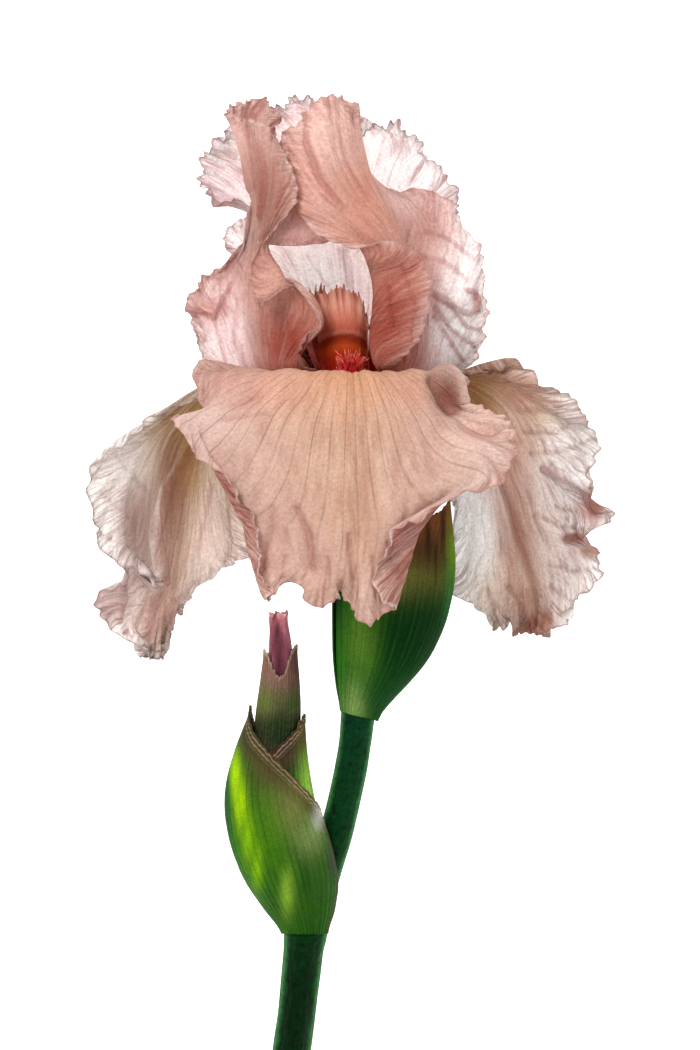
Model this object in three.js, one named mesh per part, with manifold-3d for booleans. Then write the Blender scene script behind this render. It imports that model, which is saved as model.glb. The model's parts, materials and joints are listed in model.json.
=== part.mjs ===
// A cut bearded iris: one open flower and one side bud on a stem, laid on its back on a flat surface.
// Millimetres. X runs across the flower, Y along the stem towards the flower's top, Z is up.
// Every form is first placed from the flower's throat, and the whole iris is then set on the surface.
import * as THREE from "three";
import { mergeVertices } from "three/addons/utils/BufferGeometryUtils.js";
import Module from "manifold-3d";

const wasm = await Module();
wasm.setup();

// Driving dimensions
const surfaceDepth = 44; // how far the surface lies below the throat
const petalThickness = 0.8;
const bractThickness = 0.9;
const clearance = 0.35; // gap kept where two pieces touch
const petalCells = { across: 18, along: 20 };
const foldCells = { across: 8, along: 4 };
const ruffles = 3.2; // broad waves from one margin of a petal to the other
const ruffleFan = 1.5; // how far the waves lean towards the margins
const sideGrowth = 3; // how sharply the waves grow towards the side margins
const tipGrowth = 6; // and towards the tip

const colours = {
  fall: 0xe9b79c,
  standard: 0xe3a58f,
  style: 0xd9805c,
  beard: 0xc8352b,
  stamen: 0xf0e3c0,
  stem: 0x2f6b3c,
  bract: 0x3f7a33,
  dryBract: 0x8a6a58,
  bud: 0x8f4a55,
};

const iris = new THREE.Group();

// ---------------------------------------------------------------- sheets

// Control rows run from a sheet's root to its tip; each row is its points from one margin to the other.
function sheetPoints(rows, cells) {
  const guides = rows[0].map(
    (_, c) => new THREE.CatmullRomCurve3(rows.map((row) => new THREE.Vector3(...row[c]))),
  );
  const points = [];
  for (let i = 0; i <= cells.along; i++) {
    const rib = new THREE.CatmullRomCurve3(guides.map((guide) => guide.getPoint(i / cells.along)));
    points.push(Array.from({ length: cells.across + 1 }, (_, j) => rib.getPoint(j / cells.across)));
  }
  return points;
}

function sheetNormals(points) {
  const last = points.length - 1;
  const end = points[0].length - 1;
  return points.map((row, i) =>
    row.map((_, j) => {
      const along = points[Math.min(i + 1, last)][j].clone().sub(points[Math.max(i - 1, 0)][j]);
      const across = row[Math.min(j + 1, end)].clone().sub(row[Math.max(j - 1, 0)]);
      return across.cross(along).normalize();
    }),
  );
}

// Waves that grow towards the side margins and the tip, and spread like a fan.
function ruffle(points, height) {
  const last = points.length - 1;
  const end = points[0].length - 1;
  const normals = sheetNormals(points);
  return points.map((row, i) =>
    row.map((point, j) => {
      const s = (2 * j) / end - 1;
      const t = i / last;
      const grown = Math.max(Math.abs(s) ** sideGrowth * Math.min(1, 3 * t), t ** tipGrowth);
      const fan = s * (1 + ruffleFan * (1 - t));
      const lift = height * grown * Math.sin(Math.PI * ruffles * fan);
      return point.clone().addScaledVector(normals[i][j], lift);
    }),
  );
}

// What would sink below the surface lies flat on it instead.
function rest(points, thickness) {
  const floor = thickness / 2 - surfaceDepth;
  const softness = 0.6; // how gently a petal comes down onto the surface
  const contact = 0.05; // pressed flat over the last of the way
  return points.map((row) =>
    row.map((p) => {
      const high = (p.z - floor) / softness;
      const lifted = high > 20 ? high : Math.log1p(Math.exp(high));
      return new THREE.Vector3(p.x, p.y, floor + Math.max(0, lifted * softness - contact));
    }),
  );
}

// A closed solid of even thickness round the sheet.
function solidSheet(points, thickness) {
  const normals = sheetNormals(points);
  const rows = points.length;
  const width = points[0].length;
  const place = [];
  for (const side of [0.5, -0.5])
    points.forEach((row, i) =>
      row.forEach((p, j) =>
        place.push(...p.clone().addScaledVector(normals[i][j], side * thickness).toArray()),
      ),
    );
  const at = (face, i, j) => (face * rows + i) * width + j;
  const index = [];
  const quad = (a, b, c, d) => index.push(a, b, c, a, c, d);
  for (let i = 0; i < rows - 1; i++)
    for (let j = 0; j < width - 1; j++) {
      quad(at(0, i, j), at(0, i, j + 1), at(0, i + 1, j + 1), at(0, i + 1, j));
      index.push(at(1, i, j), at(1, i + 1, j + 1), at(1, i, j + 1));
      index.push(at(1, i, j), at(1, i + 1, j), at(1, i + 1, j + 1));
    }
  for (let j = 0; j < width - 1; j++) {
    quad(at(0, 0, j), at(1, 0, j), at(1, 0, j + 1), at(0, 0, j + 1));
    quad(at(0, rows - 1, j), at(0, rows - 1, j + 1), at(1, rows - 1, j + 1), at(1, rows - 1, j));
  }
  for (let i = 0; i < rows - 1; i++) {
    quad(at(0, i, 0), at(0, i + 1, 0), at(1, i + 1, 0), at(1, i, 0));
    quad(at(0, i, width - 1), at(1, i, width - 1), at(1, i + 1, width - 1), at(0, i + 1, width - 1));
  }
  return new THREE.BufferGeometry()
    .setAttribute("position", new THREE.BufferAttribute(new Float32Array(place), 3))
    .setIndex(index);
}

function toSolid(geometry) {
  const bare = geometry.index ? geometry.clone() : geometry;
  bare.deleteAttribute("normal");
  bare.deleteAttribute("uv");
  const merged = mergeVertices(bare, 1e-4);
  return new wasm.Manifold(
    new wasm.Mesh({
      numProp: 3,
      vertProperties: merged.attributes.position.array,
      triVerts: new Uint32Array(merged.index.array),
    }),
  );
}

function toGeometry(solid) {
  const mesh = solid.getMesh();
  return new THREE.BufferGeometry()
    .setAttribute("position", new THREE.BufferAttribute(mesh.vertProperties, 3))
    .setIndex(new THREE.BufferAttribute(mesh.triVerts, 1));
}

// Without the tiny pockets that crossing hairs can close off.
function largestBody(solid) {
  return solid.decompose().reduce((best, body) => (body.volume() > best.volume() ? body : best));
}

// The same draw of numbers each time.
function seeded(start) {
  let state = start;
  return () => {
    state = (state * 16807) % 2147483647;
    return state / 2147483647;
  };
}

function addPiece(name, geometry, colour, roughness = 0.6) {
  geometry.computeVertexNormals();
  const material = new THREE.MeshStandardMaterial({ color: colour, roughness, metalness: 0 });
  const mesh = new THREE.Mesh(geometry, material);
  mesh.name = name;
  iris.add(mesh);
  return mesh;
}

// A petal may carry a second fold, which is fused into it.
function addPetal(name, rows, waveHeight, colour, foldRows) {
  const waved = rest(ruffle(sheetPoints(rows, petalCells), waveHeight), petalThickness);
  const blade = solidSheet(waved, petalThickness);
  const fold = foldRows && solidSheet(sheetPoints(foldRows, foldCells), petalThickness);
  addPiece(name, fold ? toGeometry(toSolid(blade).add(toSolid(fold))) : blade, colour);
  return waved;
}

// A row across a petal's root, at a heading round the throat: 90 is towards +Z, 0 towards +X.
function rootRow(heading, { radius, halfWidth, low, lift, columns = 7 }) {
  const angle = THREE.MathUtils.degToRad(heading);
  return Array.from({ length: columns }, (_, c) => {
    const s = (2 * c) / (columns - 1) - 1;
    const turn = angle - (s * halfWidth) / radius;
    return [radius * Math.cos(turn), low + lift * s * s, radius * Math.sin(turn)];
  });
}

// ---------------------------------------------------------------- falls

const fallRoot = { radius: 6.4, halfWidth: 3.4, low: -11, lift: 0.4 };
const fallHaft = { radius: 15.5, halfWidth: 8, low: -6.5, lift: 1.5 };

const fallFrontRows = [
  rootRow(90, { ...fallRoot, columns: 9 }),
  rootRow(90, { ...fallHaft, columns: 9 }),
  [[-24, -2.5, 15], [-18, -2.8, 19], [-12, -3, 23], [-6, -3.2, 26], [0, -3.2, 27], [6, -3.2, 26],
   [12, -3, 23], [18, -2.8, 19], [23, -2.5, 15]],
  [[-40.5, 0.5, 20], [-33, 0.2, 27], [-22, -0.2, 33], [-11, -0.4, 37], [0, -0.5, 38.5], [10, -0.4, 37],
   [18, -0.3, 34], [25, 0.2, 30], [30.5, -2.5, 25]],
  [[-39, -12, 31], [-34.5, -8, 36], [-24, -7, 42], [-12, -7.5, 45], [0, -8, 46], [11, -8, 44],
   [20, -8, 39.5], [26.5, -10, 31.5], [32, -10.5, 32]],
  [[-46.5, -11, 42], [-40, -15, 43], [-27, -16, 47], [-14, -16.5, 50], [0, -17, 50.5], [12, -17, 49],
   [23, -17, 46], [34, -17, 41], [41, -13, 39]],
  [[-41, -22, 51], [-36, -25, 48], [-24, -26, 51], [-12, -26.5, 52.5], [0, -27, 53], [11, -26.5, 52],
   [22, -25, 50], [34, -22, 47], [44, -19, 44]],
  [[-31, -33, 54], [-30.5, -34.5, 50], [-21, -35.5, 52.5], [-10, -36.5, 53], [0, -37, 53.5],
   [10, -36, 53.5], [20, -33, 52], [31, -29, 50], [40.5, -27.5, 51]],
  [[-25, -42, 54.5], [-28, -41.5, 50], [-19, -45, 51], [-9, -46, 52], [0, -46.5, 52.5], [8, -45.5, 53],
   [15, -42, 52], [22, -38, 50], [17, -39, 57]],
  [[-23.2, -51, 53], [-26, -52, 48], [-17.5, -53, 49.5], [-9, -54, 48], [-1, -55, 50.5],
   [4.5, -55, 50.5], [10, -52.5, 50], [15.5, -49.5, 48.5], [8.5, -50, 56]],
  [[-20, -58.5, 52], [-22.5, -61.5, 47.5], [-16, -57.5, 47], [-9, -63.5, 49.5], [-2.5, -59, 45.5],
   [1, -65.5, 48], [6, -67, 46.5], [11.5, -63.5, 46], [9, -62, 52]],
];

const fallLeftRows = [
  rootRow(210, fallRoot).reverse(),
  rootRow(210, fallHaft).reverse(),
  [[-31, -2, 1], [-28, -2.5, -4], [-25.5, -3, -9], [-22.5, -3.5, -13], [-19.5, -3.5, -18],
   [-17, -3.5, -23], [-14, -3.5, -28]],
  [[-44, -7, 6], [-40, -4.5, -2], [-36, -3.5, -10], [-31, -4, -18], [-27, -5, -25], [-23, -7, -32],
   [-19, -10, -39]],
  [[-56, -13.5, 8], [-49, -12, -3], [-44, -9.5, -13], [-38, -10, -22], [-34, -12, -29], [-30, -15, -36],
   [-26, -20, -44]],
  [[-66, -21, 8], [-57, -21, -4], [-50, -18, -16], [-42.5, -20, -25], [-38, -22, -31], [-34, -26, -38],
   [-29, -31, -47]],
  [[-69.7, -32, 6], [-60, -32, -6], [-52.5, -31, -20], [-45, -31, -27], [-40, -33, -33],
   [-34.5, -37, -40], [-28, -41, -49]],
  [[-67.3, -44, 4], [-59, -45, -6], [-52.3, -43, -22], [-46.7, -43, -29], [-41, -45, -35],
   [-35, -48, -41], [-27.5, -47.5, -48]],
  [[-58, -53, 3], [-56, -53, -8], [-51.2, -53, -23], [-48.5, -54, -31], [-43.5, -54, -36],
   [-38, -55, -40], [-33.5, -51.5, -45]],
  [[-50.5, -58.5, -3], [-53, -57, -13], [-52.5, -58, -26], [-49.5, -59, -32], [-46, -59, -36],
   [-42.5, -58, -39], [-40, -55.5, -42]],
  [[-62, -48.5, -9], [-58, -54, -17], [-54, -60, -26], [-50.5, -61.5, -32], [-47.5, -61.5, -36],
   [-44.8, -60.5, -38.5], [-42.5, -58, -41]],
  [[-63.5, -56, -9.5], [-59, -59.5, -18.5], [-54.3, -63, -28], [-50.8, -64, -32.7], [-48, -63.5, -36],
   [-46, -62, -38], [-44, -59.5, -40.5]],
  [[-69.5, -63, -13], [-61.5, -65, -21.5], [-55, -68, -29.5], [-51.5, -69, -33], [-49.5, -67.5, -35.7],
   [-48, -65.5, -37.7], [-46, -62.5, -39.5]],
  [[-63.5, -68.5, -19], [-59, -71.5, -25.5], [-55.3, -73, -30.5], [-52.3, -74, -33], [-50.7, -72, -35],
   [-49.5, -69.5, -37], [-47.5, -66.5, -38]],
  [[-57.5, -74, -25], [-56, -75.8, -28], [-54.5, -77.5, -31], [-53, -78, -32], [-52, -77, -33],
   [-51.3, -74, -34], [-49.5, -69.5, -35]],
];

const fallRightRows = [
  rootRow(330, fallRoot).reverse(),
  rootRow(330, fallHaft).reverse(),
  [[14, -3.5, -28], [17, -3.5, -23], [19.5, -3.2, -18], [22.5, -3, -13], [25, -2.5, -9], [27.5, -2, -5],
   [31, -1.5, 0]],
  [[19, -10, -40], [23, -7, -34], [27, -5, -27], [31, -4.5, -20], [34, -2, -12], [37, 0.5, -4],
   [40, 0.5, 5]],
  [[24, -19, -44], [28.5, -16, -38], [33, -12.5, -32], [37, -11, -25], [42, -7, -15], [47, -5, -5],
   [53, -5, 6]],
  [[26, -29, -48], [31, -26, -40], [35.5, -23, -34], [40, -21, -28], [47, -17, -17], [55, -14, -6],
   [64.5, -12.5, 5]],
  [[27.3, -37, -49], [32, -34.5, -41.5], [36.8, -31.5, -35.5], [41.2, -29, -29.3], [48.3, -25, -18.3],
   [56.3, -22, -8], [67.5, -22.5, 4]],
  [[27.6, -43, -49], [32.7, -40.5, -42], [38, -37, -36.3], [43, -35, -30.7], [49.8, -31, -19.8],
   [57, -28.5, -10], [64.5, -32, -4]],
  [[28, -50, -49], [33.5, -48, -42], [39.5, -45, -37], [45, -43, -32], [51, -38.5, -21.5],
   [59, -35.5, -11], [69.8, -38, 1]],
  [[28, -55.5, -48], [34, -54.5, -42], [40.7, -51, -37.6], [46.5, -48, -32.7], [52.2, -44.5, -22.7],
   [58.7, -42, -13.5], [63, -45, -8]],
  [[28, -60, -47], [34.5, -60, -42], [41.7, -57, -38], [47.7, -53, -33.2], [53, -50, -24],
   [60, -48, -15], [68.3, -50.5, -4]],
  [[34, -64.5, -44], [38, -66, -41], [43, -64, -38], [49.3, -62, -34], [54, -58.5, -27], [59, -57, -19],
   [66, -59, -10]],
  [[40, -69.5, -41], [43.5, -69, -39], [47, -70.3, -37], [50.3, -70.5, -34], [52.5, -71, -30],
   [55, -69.5, -25], [59, -65.5, -18]],
];

// ---------------------------------------------------------------- standards

const standardRoot = { radius: 6.2, halfWidth: 2, low: -11, lift: 0.3 };

const standardLeftRows = [
  rootRow(150, standardRoot),
  [[-13, -1, -5], [-13.5, -2, -1], [-13.5, -2.5, 3], [-12.5, -2.5, 7], [-11, -2, 9.5],
   [-9.5, -1.2, 11.5], [-8, -0.5, 13]],
  [[-39, 1.5, -13], [-32, 1, -8], [-25.5, 0.5, 0], [-22.5, 1, 9], [-19, 1, 14], [-15.5, 1, 17],
   [-13, 1.5, 19]],
  [[-41, 7, -12], [-34, 7, -10], [-27, 7, -3], [-25.5, 7, 8], [-19, 7, 14], [-13, 6.5, 18],
   [-12.5, 7, 22]],
  [[-43, 13, -11], [-35, 13, -11], [-28, 13, -3], [-27.3, 12.5, 8], [-18.5, 13, 13], [-8.5, 12, 18.5],
   [-7.6, 12.4, 23]],
  [[-43.7, 17, -10], [-35.5, 17, -12], [-28, 16.5, -3.5], [-27.8, 16, 8], [-18.5, 16.5, 12.5],
   [-9, 17, 17], [-11.5, 20, 21]],
  [[-44, 20.5, -9], [-36, 20.5, -12], [-28, 20, -4], [-28, 19.5, 8], [-19, 20, 12.5], [-13, 21, 17],
   [-17, 24, 21]],
  [[-41.5, 24, -9.5], [-34.5, 24, -12.5], [-27.7, 24, -4.5], [-28, 23.5, 8], [-20.5, 24, 13],
   [-17.5, 24.5, 19.5], [-24.3, 17, 26.5]],
  [[-36.5, 28, -10], [-32, 28, -12.5], [-27.3, 28, -4.5], [-28, 28, 8], [-22.5, 28, 12.5],
   [-19.5, 28, 18], [-26.8, 22.5, 23.5]],
  [[-30, 34, -10], [-28.5, 34, -10], [-26.5, 34, -3], [-27.5, 34, 7], [-25.5, 34, 11],
   [-22.5, 33.5, 14.5], [-24, 32.5, 19]],
  [[-27, 43, -12], [-26, 43, -9], [-26, 43, -1], [-26.5, 42, 7], [-24.5, 41, 14], [-21, 40, 19],
   [-17.5, 40, 23]],
  [[-24, 54, -10], [-26, 53, -7], [-28, 53, 0], [-28, 52, 9], [-24.5, 51, 17], [-19, 50, 23],
   [-14.3, 48, 25]],
  [[-20, 64, -6], [-25, 64, -5], [-29.5, 63, 2], [-31, 62, 8], [-27, 60, 15], [-21.5, 58, 19.5],
   [-16, 56, 20]],
  [[-19, 70, 0], [-24, 74, -3], [-29.5, 72.5, 1], [-33, 71.5, 6], [-30, 68.5, 12], [-25, 67, 15],
   [-19, 63, 16.5]],
];

// A fold of the left standard that runs behind the right one's rolled margin.
const tuckRows = [
  [[-20.5, 44, 15.5], [-15.5, 44, 14], [-10, 44, 13], [-4, 44, 12], [1, 44, 11]],
  [[-22.5, 40, 14.5], [-16.5, 40, 15], [-10.5, 40, 14.5], [-5, 40, 13], [0.5, 41, 11]],
  [[-24, 36.5, 13], [-18, 36, 14.5], [-12, 36, 14], [-6.5, 36.5, 12.5], [0, 38, 10.5]],
  [[-25, 34.5, 11.5], [-18.5, 33.8, 13], [-12.5, 34, 12.5], [-7, 34.6, 11], [-1, 36.5, 9]],
];

const standardRightRows = [
  rootRow(30, standardRoot).reverse(),
  [[13, -1, -5], [13.5, -2, -1], [13.5, -2.5, 3], [12.5, -2.5, 7], [11, -2, 9.5], [9.5, -1.2, 11.5],
   [8, -0.5, 13]],
  [[31, 2, -13], [27, 1, -9], [20, 0.5, -2.5], [19.5, 1, 6], [14.5, 1, 12], [7.5, 0.8, 16],
   [12.5, 2, 22]],
  [[36, 8, -11], [30, 7.5, -9], [19.5, 7, -2.5], [21, 7, 6.5], [16, 7, 12], [5.5, 6.5, 15.5],
   [16, 4.8, 25]],
  [[36.5, 14, -10], [30, 14, -8.5], [19, 13, -2.5], [21.5, 13, 6.5], [16, 13, 11.5], [5.6, 12, 15],
   [20, 11, 26]],
  [[36.5, 22, -9], [30, 21, -8.5], [19, 20, -2.5], [21.5, 20, 6.5], [16, 20, 11.5], [6, 19, 15.3],
   [20.5, 17.5, 26]],
  [[36, 31, -11], [28.5, 29, -9], [16.5, 28, -2.5], [19.5, 27.5, 7], [13, 27.5, 13], [5, 27, 18],
   [20.5, 26.5, 25.5]],
  [[31.5, 40, -13], [23.5, 37, -9.5], [12.5, 36, -1.5], [14.2, 36, 8.5], [9.5, 33.5, 17], [4, 30, 23],
   [12.5, 34.5, 29]],
  [[23, 48, -15], [16.5, 44, -10], [9, 43.5, -1], [10, 43.5, 10], [5, 40.5, 18], [0, 37, 24],
   [-3, 34.3, 28]],
  [[10, 50, -14], [8, 51, -10], [5.5, 51, -1], [6.2, 50.5, 10], [-1, 48.5, 17.5], [-8, 45.5, 23],
   [-15, 43, 19.5]],
  [[0, 60, -8], [0, 61, -4], [2.3, 61, 3], [3, 60, 10.5], [-4, 60, 15.5], [-11, 58, 18.5],
   [-18, 55, 14]],
  [[-8, 73, -1], [-4, 74, 2], [-0.5, 73.5, 6], [1.5, 70, 11], [-4.5, 74, 15], [-11, 70, 15],
   [-18, 64, 12]],
];

const standardBackRows = [
  rootRow(270, standardRoot).reverse(),
  [[-14.5, 7, -9], [-11, 4.5, -12], [-5, 4, -14], [0, 4, -15], [5, 4, -14], [11, 4.5, -12],
   [14.5, 7, -9]],
  [[-22, 22, -17], [-16, 20, -22], [-8, 19, -26], [-1, 19, -27], [7, 19, -26], [14, 20, -22],
   [20, 22, -17]],
  [[-34, 37, -22], [-23, 34, -30], [-12, 33, -35], [-2, 33, -37], [8, 33, -35], [18, 34, -30],
   [26, 38, -22]],
  [[-28, 44, -31], [-24, 42, -36], [-13, 42, -40], [-2.5, 42, -46], [8, 42, -43], [18.5, 42, -34],
   [28, 44, -23]],
  [[-39, 49, -20], [-28, 50, -33], [-15, 50, -44], [-3, 50, -48], [8, 50, -44], [19, 51, -33],
   [28.5, 50, -22]],
  [[-39.5, 57, -18], [-29, 59, -30], [-17, 60, -37], [-4, 60, -40], [7, 60, -36], [17, 60, -29],
   [22.5, 59, -20]],
  [[-36, 63.5, -16], [-28, 67, -25], [-18, 69, -30], [-6, 70, -32], [4, 68, -30], [10, 66.5, -25],
   [14.5, 65, -18]],
  [[-33, 66, -12], [-27, 70, -17], [-18, 73.5, -20], [-10, 74, -21], [-2, 70, -21], [3, 67, -18],
   [7, 66, -13]],
];

const fallFront = addPetal("fall_front", fallFrontRows, 1.2, colours.fall);
const fallLeft = addPetal("fall_left", fallLeftRows, 1.5, colours.fall);
const fallRight = addPetal("fall_right", fallRightRows, 1.5, colours.fall);
addPetal("standard_left", standardLeftRows, 1, colours.standard, tuckRows);
addPetal("standard_right", standardRightRows, 1, colours.standard);
addPetal("standard_back", standardBackRows, 1.2, colours.standard);

// ---------------------------------------------------------------- beards

// Hairs standing on a narrow pad that follows the middle of a fall's haft.
function addBeard(name, petal, side, { firstRow, lastRow, width, hairs, hairLength }) {
  const middle = petalCells.across / 2;
  const normals = sheetNormals(petal);
  const raise = side * (petalThickness / 2 + clearance + beard.pad / 2);
  const rows = [];
  for (let i = firstRow; i <= lastRow; i++) {
    const left = petal[i][middle - 1].clone().addScaledVector(normals[i][middle - 1], raise);
    const mid = petal[i][middle].clone().addScaledVector(normals[i][middle], raise);
    const right = petal[i][middle + 1].clone().addScaledVector(normals[i][middle + 1], raise);
    const narrow = Math.min(1, width / left.distanceTo(right));
    rows.push([left.lerp(mid, 1 - narrow), mid, right.lerp(mid, 1 - narrow)]);
  }
  let fused = toSolid(solidSheet(rows, beard.pad));
  const padNormals = sheetNormals(rows);
  const random = seeded(beard.seed);
  for (let h = 0; h < hairs; h++) {
    const along = (h / (hairs - 1)) * (rows.length - 1.001);
    const i = Math.floor(along);
    const across = beard.edge + (2 - 2 * beard.edge) * random();
    const j = Math.floor(across);
    const root = rows[i][j].clone().lerp(rows[i + 1][j], along - i);
    root.lerp(rows[i][j + 1].clone().lerp(rows[i + 1][j + 1], along - i), across - j);
    const lean = new THREE.Vector3(random() - 0.5, random() - 0.5, random() - 0.5);
    lean.multiplyScalar(beard.spread);
    const up = padNormals[i][1].clone().multiplyScalar(side).add(lean).normalize();
    const length = hairLength * THREE.MathUtils.lerp(beard.shortest, beard.longest, random());
    const hair = new THREE.ConeGeometry(beard.hairRadius, length, 3);
    hair.translate(0, length / 2 - beard.sunk, 0);
    hair.applyQuaternion(new THREE.Quaternion().setFromUnitVectors(new THREE.Vector3(0, 1, 0), up));
    hair.translate(root.x, root.y, root.z);
    fused = fused.add(toSolid(hair));
  }
  addPiece(name, toGeometry(largestBody(fused)), colours.beard, 0.8);
}

// The hairs keep clear of the pad's edges, and their roots are sunk into it.
const beard = {
  pad: 1.2,
  hairRadius: 0.55,
  spread: 1.1,
  edge: 0.3,
  sunk: 0.48,
  shortest: 0.75,
  longest: 1.25,
  seed: 24,
};

addBeard("beard_front", fallFront, -1, { firstRow: 2, lastRow: 4, width: 6.5, hairs: 38, hairLength: 7.5 });
addBeard("beard_left", fallLeft, 1, { firstRow: 2, lastRow: 4, width: 4, hairs: 16, hairLength: 4.5 });
addBeard("beard_right", fallRight, 1, { firstRow: 2, lastRow: 4, width: 4, hairs: 16, hairLength: 4.5 });

// ---------------------------------------------------------------- style arms and stamens

const styleRows = [
  [[-2.2, -7.2, 2.6], [-1.2, -7.2, 3.3], [0, -7.2, 3.6], [1.2, -7.2, 3.3], [2.2, -7.2, 2.6]],
  [[-7, 0, 5], [-3.5, 0, 8.5], [0, 0, 9.5], [2.8, 0, 8.5], [5, 0, 5.5]],
  [[-8.5, 6, 7.5], [-4.5, 6.5, 11.5], [-1, 6.5, 13], [2.3, 6.5, 11.5], [4.6, 6, 8]],
  [[-8.5, 11, 9], [-4.5, 11.5, 12.5], [-1, 11.5, 13.5], [2, 11.5, 12.5], [4.6, 11, 9]],
  [[-9, 17, 9], [-5.5, 17, 11], [-2, 17.5, 11.5], [2, 17, 11], [4.8, 15, 9]],
  [[-10, 22.5, 10], [-6, 21.5, 10.5], [-2.5, 22.5, 10.5], [1.5, 21.5, 10.5], [4.6, 16.5, 9.5]],
];
const styleThickness = 0.8;
const fringe = 1.3; // how far a crest's teeth stand up and the notches between them go down

function addStyleArm(name, heading, cells) {
  const turn = THREE.MathUtils.degToRad(90 - heading);
  const points = sheetPoints(styleRows, cells);
  const tip = points[points.length - 1];
  tip.forEach((point, j) => (point.y += j % 2 ? fringe : -fringe));
  const turned = points.map((row) =>
    row.map((p) => p.clone().applyAxisAngle(new THREE.Vector3(0, 1, 0), turn)),
  );
  addPiece(name, solidSheet(turned, styleThickness), colours.style);
}

addStyleArm("style_arm_front", 90, { across: 12, along: 8 });
addStyleArm("style_arm_left", 210, { across: 8, along: 6 });
addStyleArm("style_arm_right", 330, { across: 8, along: 6 });

function addStamen(name, heading) {
  const angle = THREE.MathUtils.degToRad(heading);
  const out = (radius, height) => [radius * Math.cos(angle), height, radius * Math.sin(angle)];
  const stations = [
    [...out(4.9, -7.5), 0.4],
    [...out(8.4, -4), 0.4],
    [...out(11.8, -0.5), 0.4],
    [...out(13, 0.8), 0.8],
    [...out(15, 3.2), 0.8],
    [...out(15.6, 4), 0.4],
  ];
  addPiece(name, rod(stations, { sides: 6, rings: 6 }), colours.stamen);
}

// ---------------------------------------------------------------- tube and stem

// A closed rod through stations of [x, y, z, radius].
function rod(stations, { sides, rings, lobes = 0, lobeDepth = 0, twist = 0 }) {
  const path = new THREE.CatmullRomCurve3(stations.map(([x, y, z]) => new THREE.Vector3(x, y, z)));
  const radii = new THREE.CatmullRomCurve3(stations.map((s, i) => new THREE.Vector3(s[3], i, 0)));
  const place = [];
  const index = [];
  for (let i = 0; i <= rings; i++) {
    const t = i / rings;
    const centre = path.getPoint(t);
    const forward = path.getTangent(t);
    const across = new THREE.Vector3(1, 0, 0).cross(forward).normalize();
    const over = forward.clone().cross(across);
    const radius = radii.getPoint(t).x;
    for (let k = 0; k < sides; k++) {
      const turn = ((k + 0.5) / sides) * 2 * Math.PI;
      const r = radius * (1 + lobeDepth * Math.cos(lobes * turn + twist * t));
      const p = centre.clone().addScaledVector(across, r * Math.cos(turn));
      p.addScaledVector(over, r * Math.sin(turn));
      place.push(p.x, p.y, p.z);
    }
  }
  for (let i = 0; i < rings; i++)
    for (let k = 0; k < sides; k++) {
      const a = i * sides + k;
      const b = i * sides + ((k + 1) % sides);
      index.push(a, b, b + sides, a, b + sides, a + sides);
    }
  const first = place.length / 3;
  place.push(...path.getPoint(0).toArray(), ...path.getPoint(1).toArray());
  for (let k = 0; k < sides; k++) {
    const next = (k + 1) % sides;
    index.push(first, next, k, first + 1, rings * sides + k, rings * sides + next);
  }
  return new THREE.BufferGeometry()
    .setAttribute("position", new THREE.BufferAttribute(new Float32Array(place), 3))
    .setIndex(index);
}

addStamen("stamen_front", 90);
addStamen("stamen_left", 210);
addStamen("stamen_right", 330);

const tubeStations = [
  [2.2, -90.9, -11.7, 3.6],
  [2, -84, -11, 3.7],
  [1.5, -72, -9.5, 3.8],
  [1, -60, -7.5, 3.2],
  [0.5, -45, -5, 3],
  [0, -28, -2, 3],
  [0, -16, 0, 5.2],
  [0, -8, 0, 5.4],
];
addPiece("perianth_tube", rod(tubeStations, { sides: 12, rings: 9 }), colours.stem);

const stemRadius = 5.2;
const stemEnd = -212;
const stemStations = [
  [-17.5, stemEnd, stemRadius - surfaceDepth, stemRadius],
  [-17, -200, stemRadius - surfaceDepth, stemRadius],
  [-16.3, -188, stemRadius + 0.3 - surfaceDepth, stemRadius],
  [-14.3, -172, -33, stemRadius],
  [-12.8, -158, -28.5, stemRadius + 0.2],
  [-12, -152, -26.8, stemRadius + 0.6],
  [-10.8, -146, -25, stemRadius],
  [-7, -135, -22, 4.7],
  [-3.3, -123, -19, 4.5],
  [-0.3, -110, -16, 4.4],
  [1.4, -100, -13.7, 4.4],
  [2.2, -92, -11.8, 4.6],
];
const branchStations = [
  [-12, -153, -26.5, 4.4],
  [-14.5, -145, -22.5, 4.2],
  [-17.5, -136, -18, 4],
  [-18.8, -128, -15.5, 3.8],
];
const mainStem = toSolid(rod(stemStations, { sides: 14, rings: 26 }));
const branch = toSolid(rod(branchStations, { sides: 8, rings: 4 }));
addPiece("stem", toGeometry(mainStem.add(branch)), colours.stem, 0.45);

// ---------------------------------------------------------------- bracts and bud

// Sections of what a bract wraps: [y, left, right, z of the middle, half depth], from the foot up.
function sectionAt(profile, y) {
  let i = 0;
  while (i < profile.length - 2 && y > profile[i + 1][0]) i++;
  const share = THREE.MathUtils.clamp((y - profile[i][0]) / (profile[i + 1][0] - profile[i][0]), 0, 1);
  return profile[i].map((value, k) => THREE.MathUtils.lerp(value, profile[i + 1][k], share));
}

const marginSlope = 1.3; // how a bract's edges sweep from its keel to its margins
const dipWidth = 38; // degrees

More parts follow.
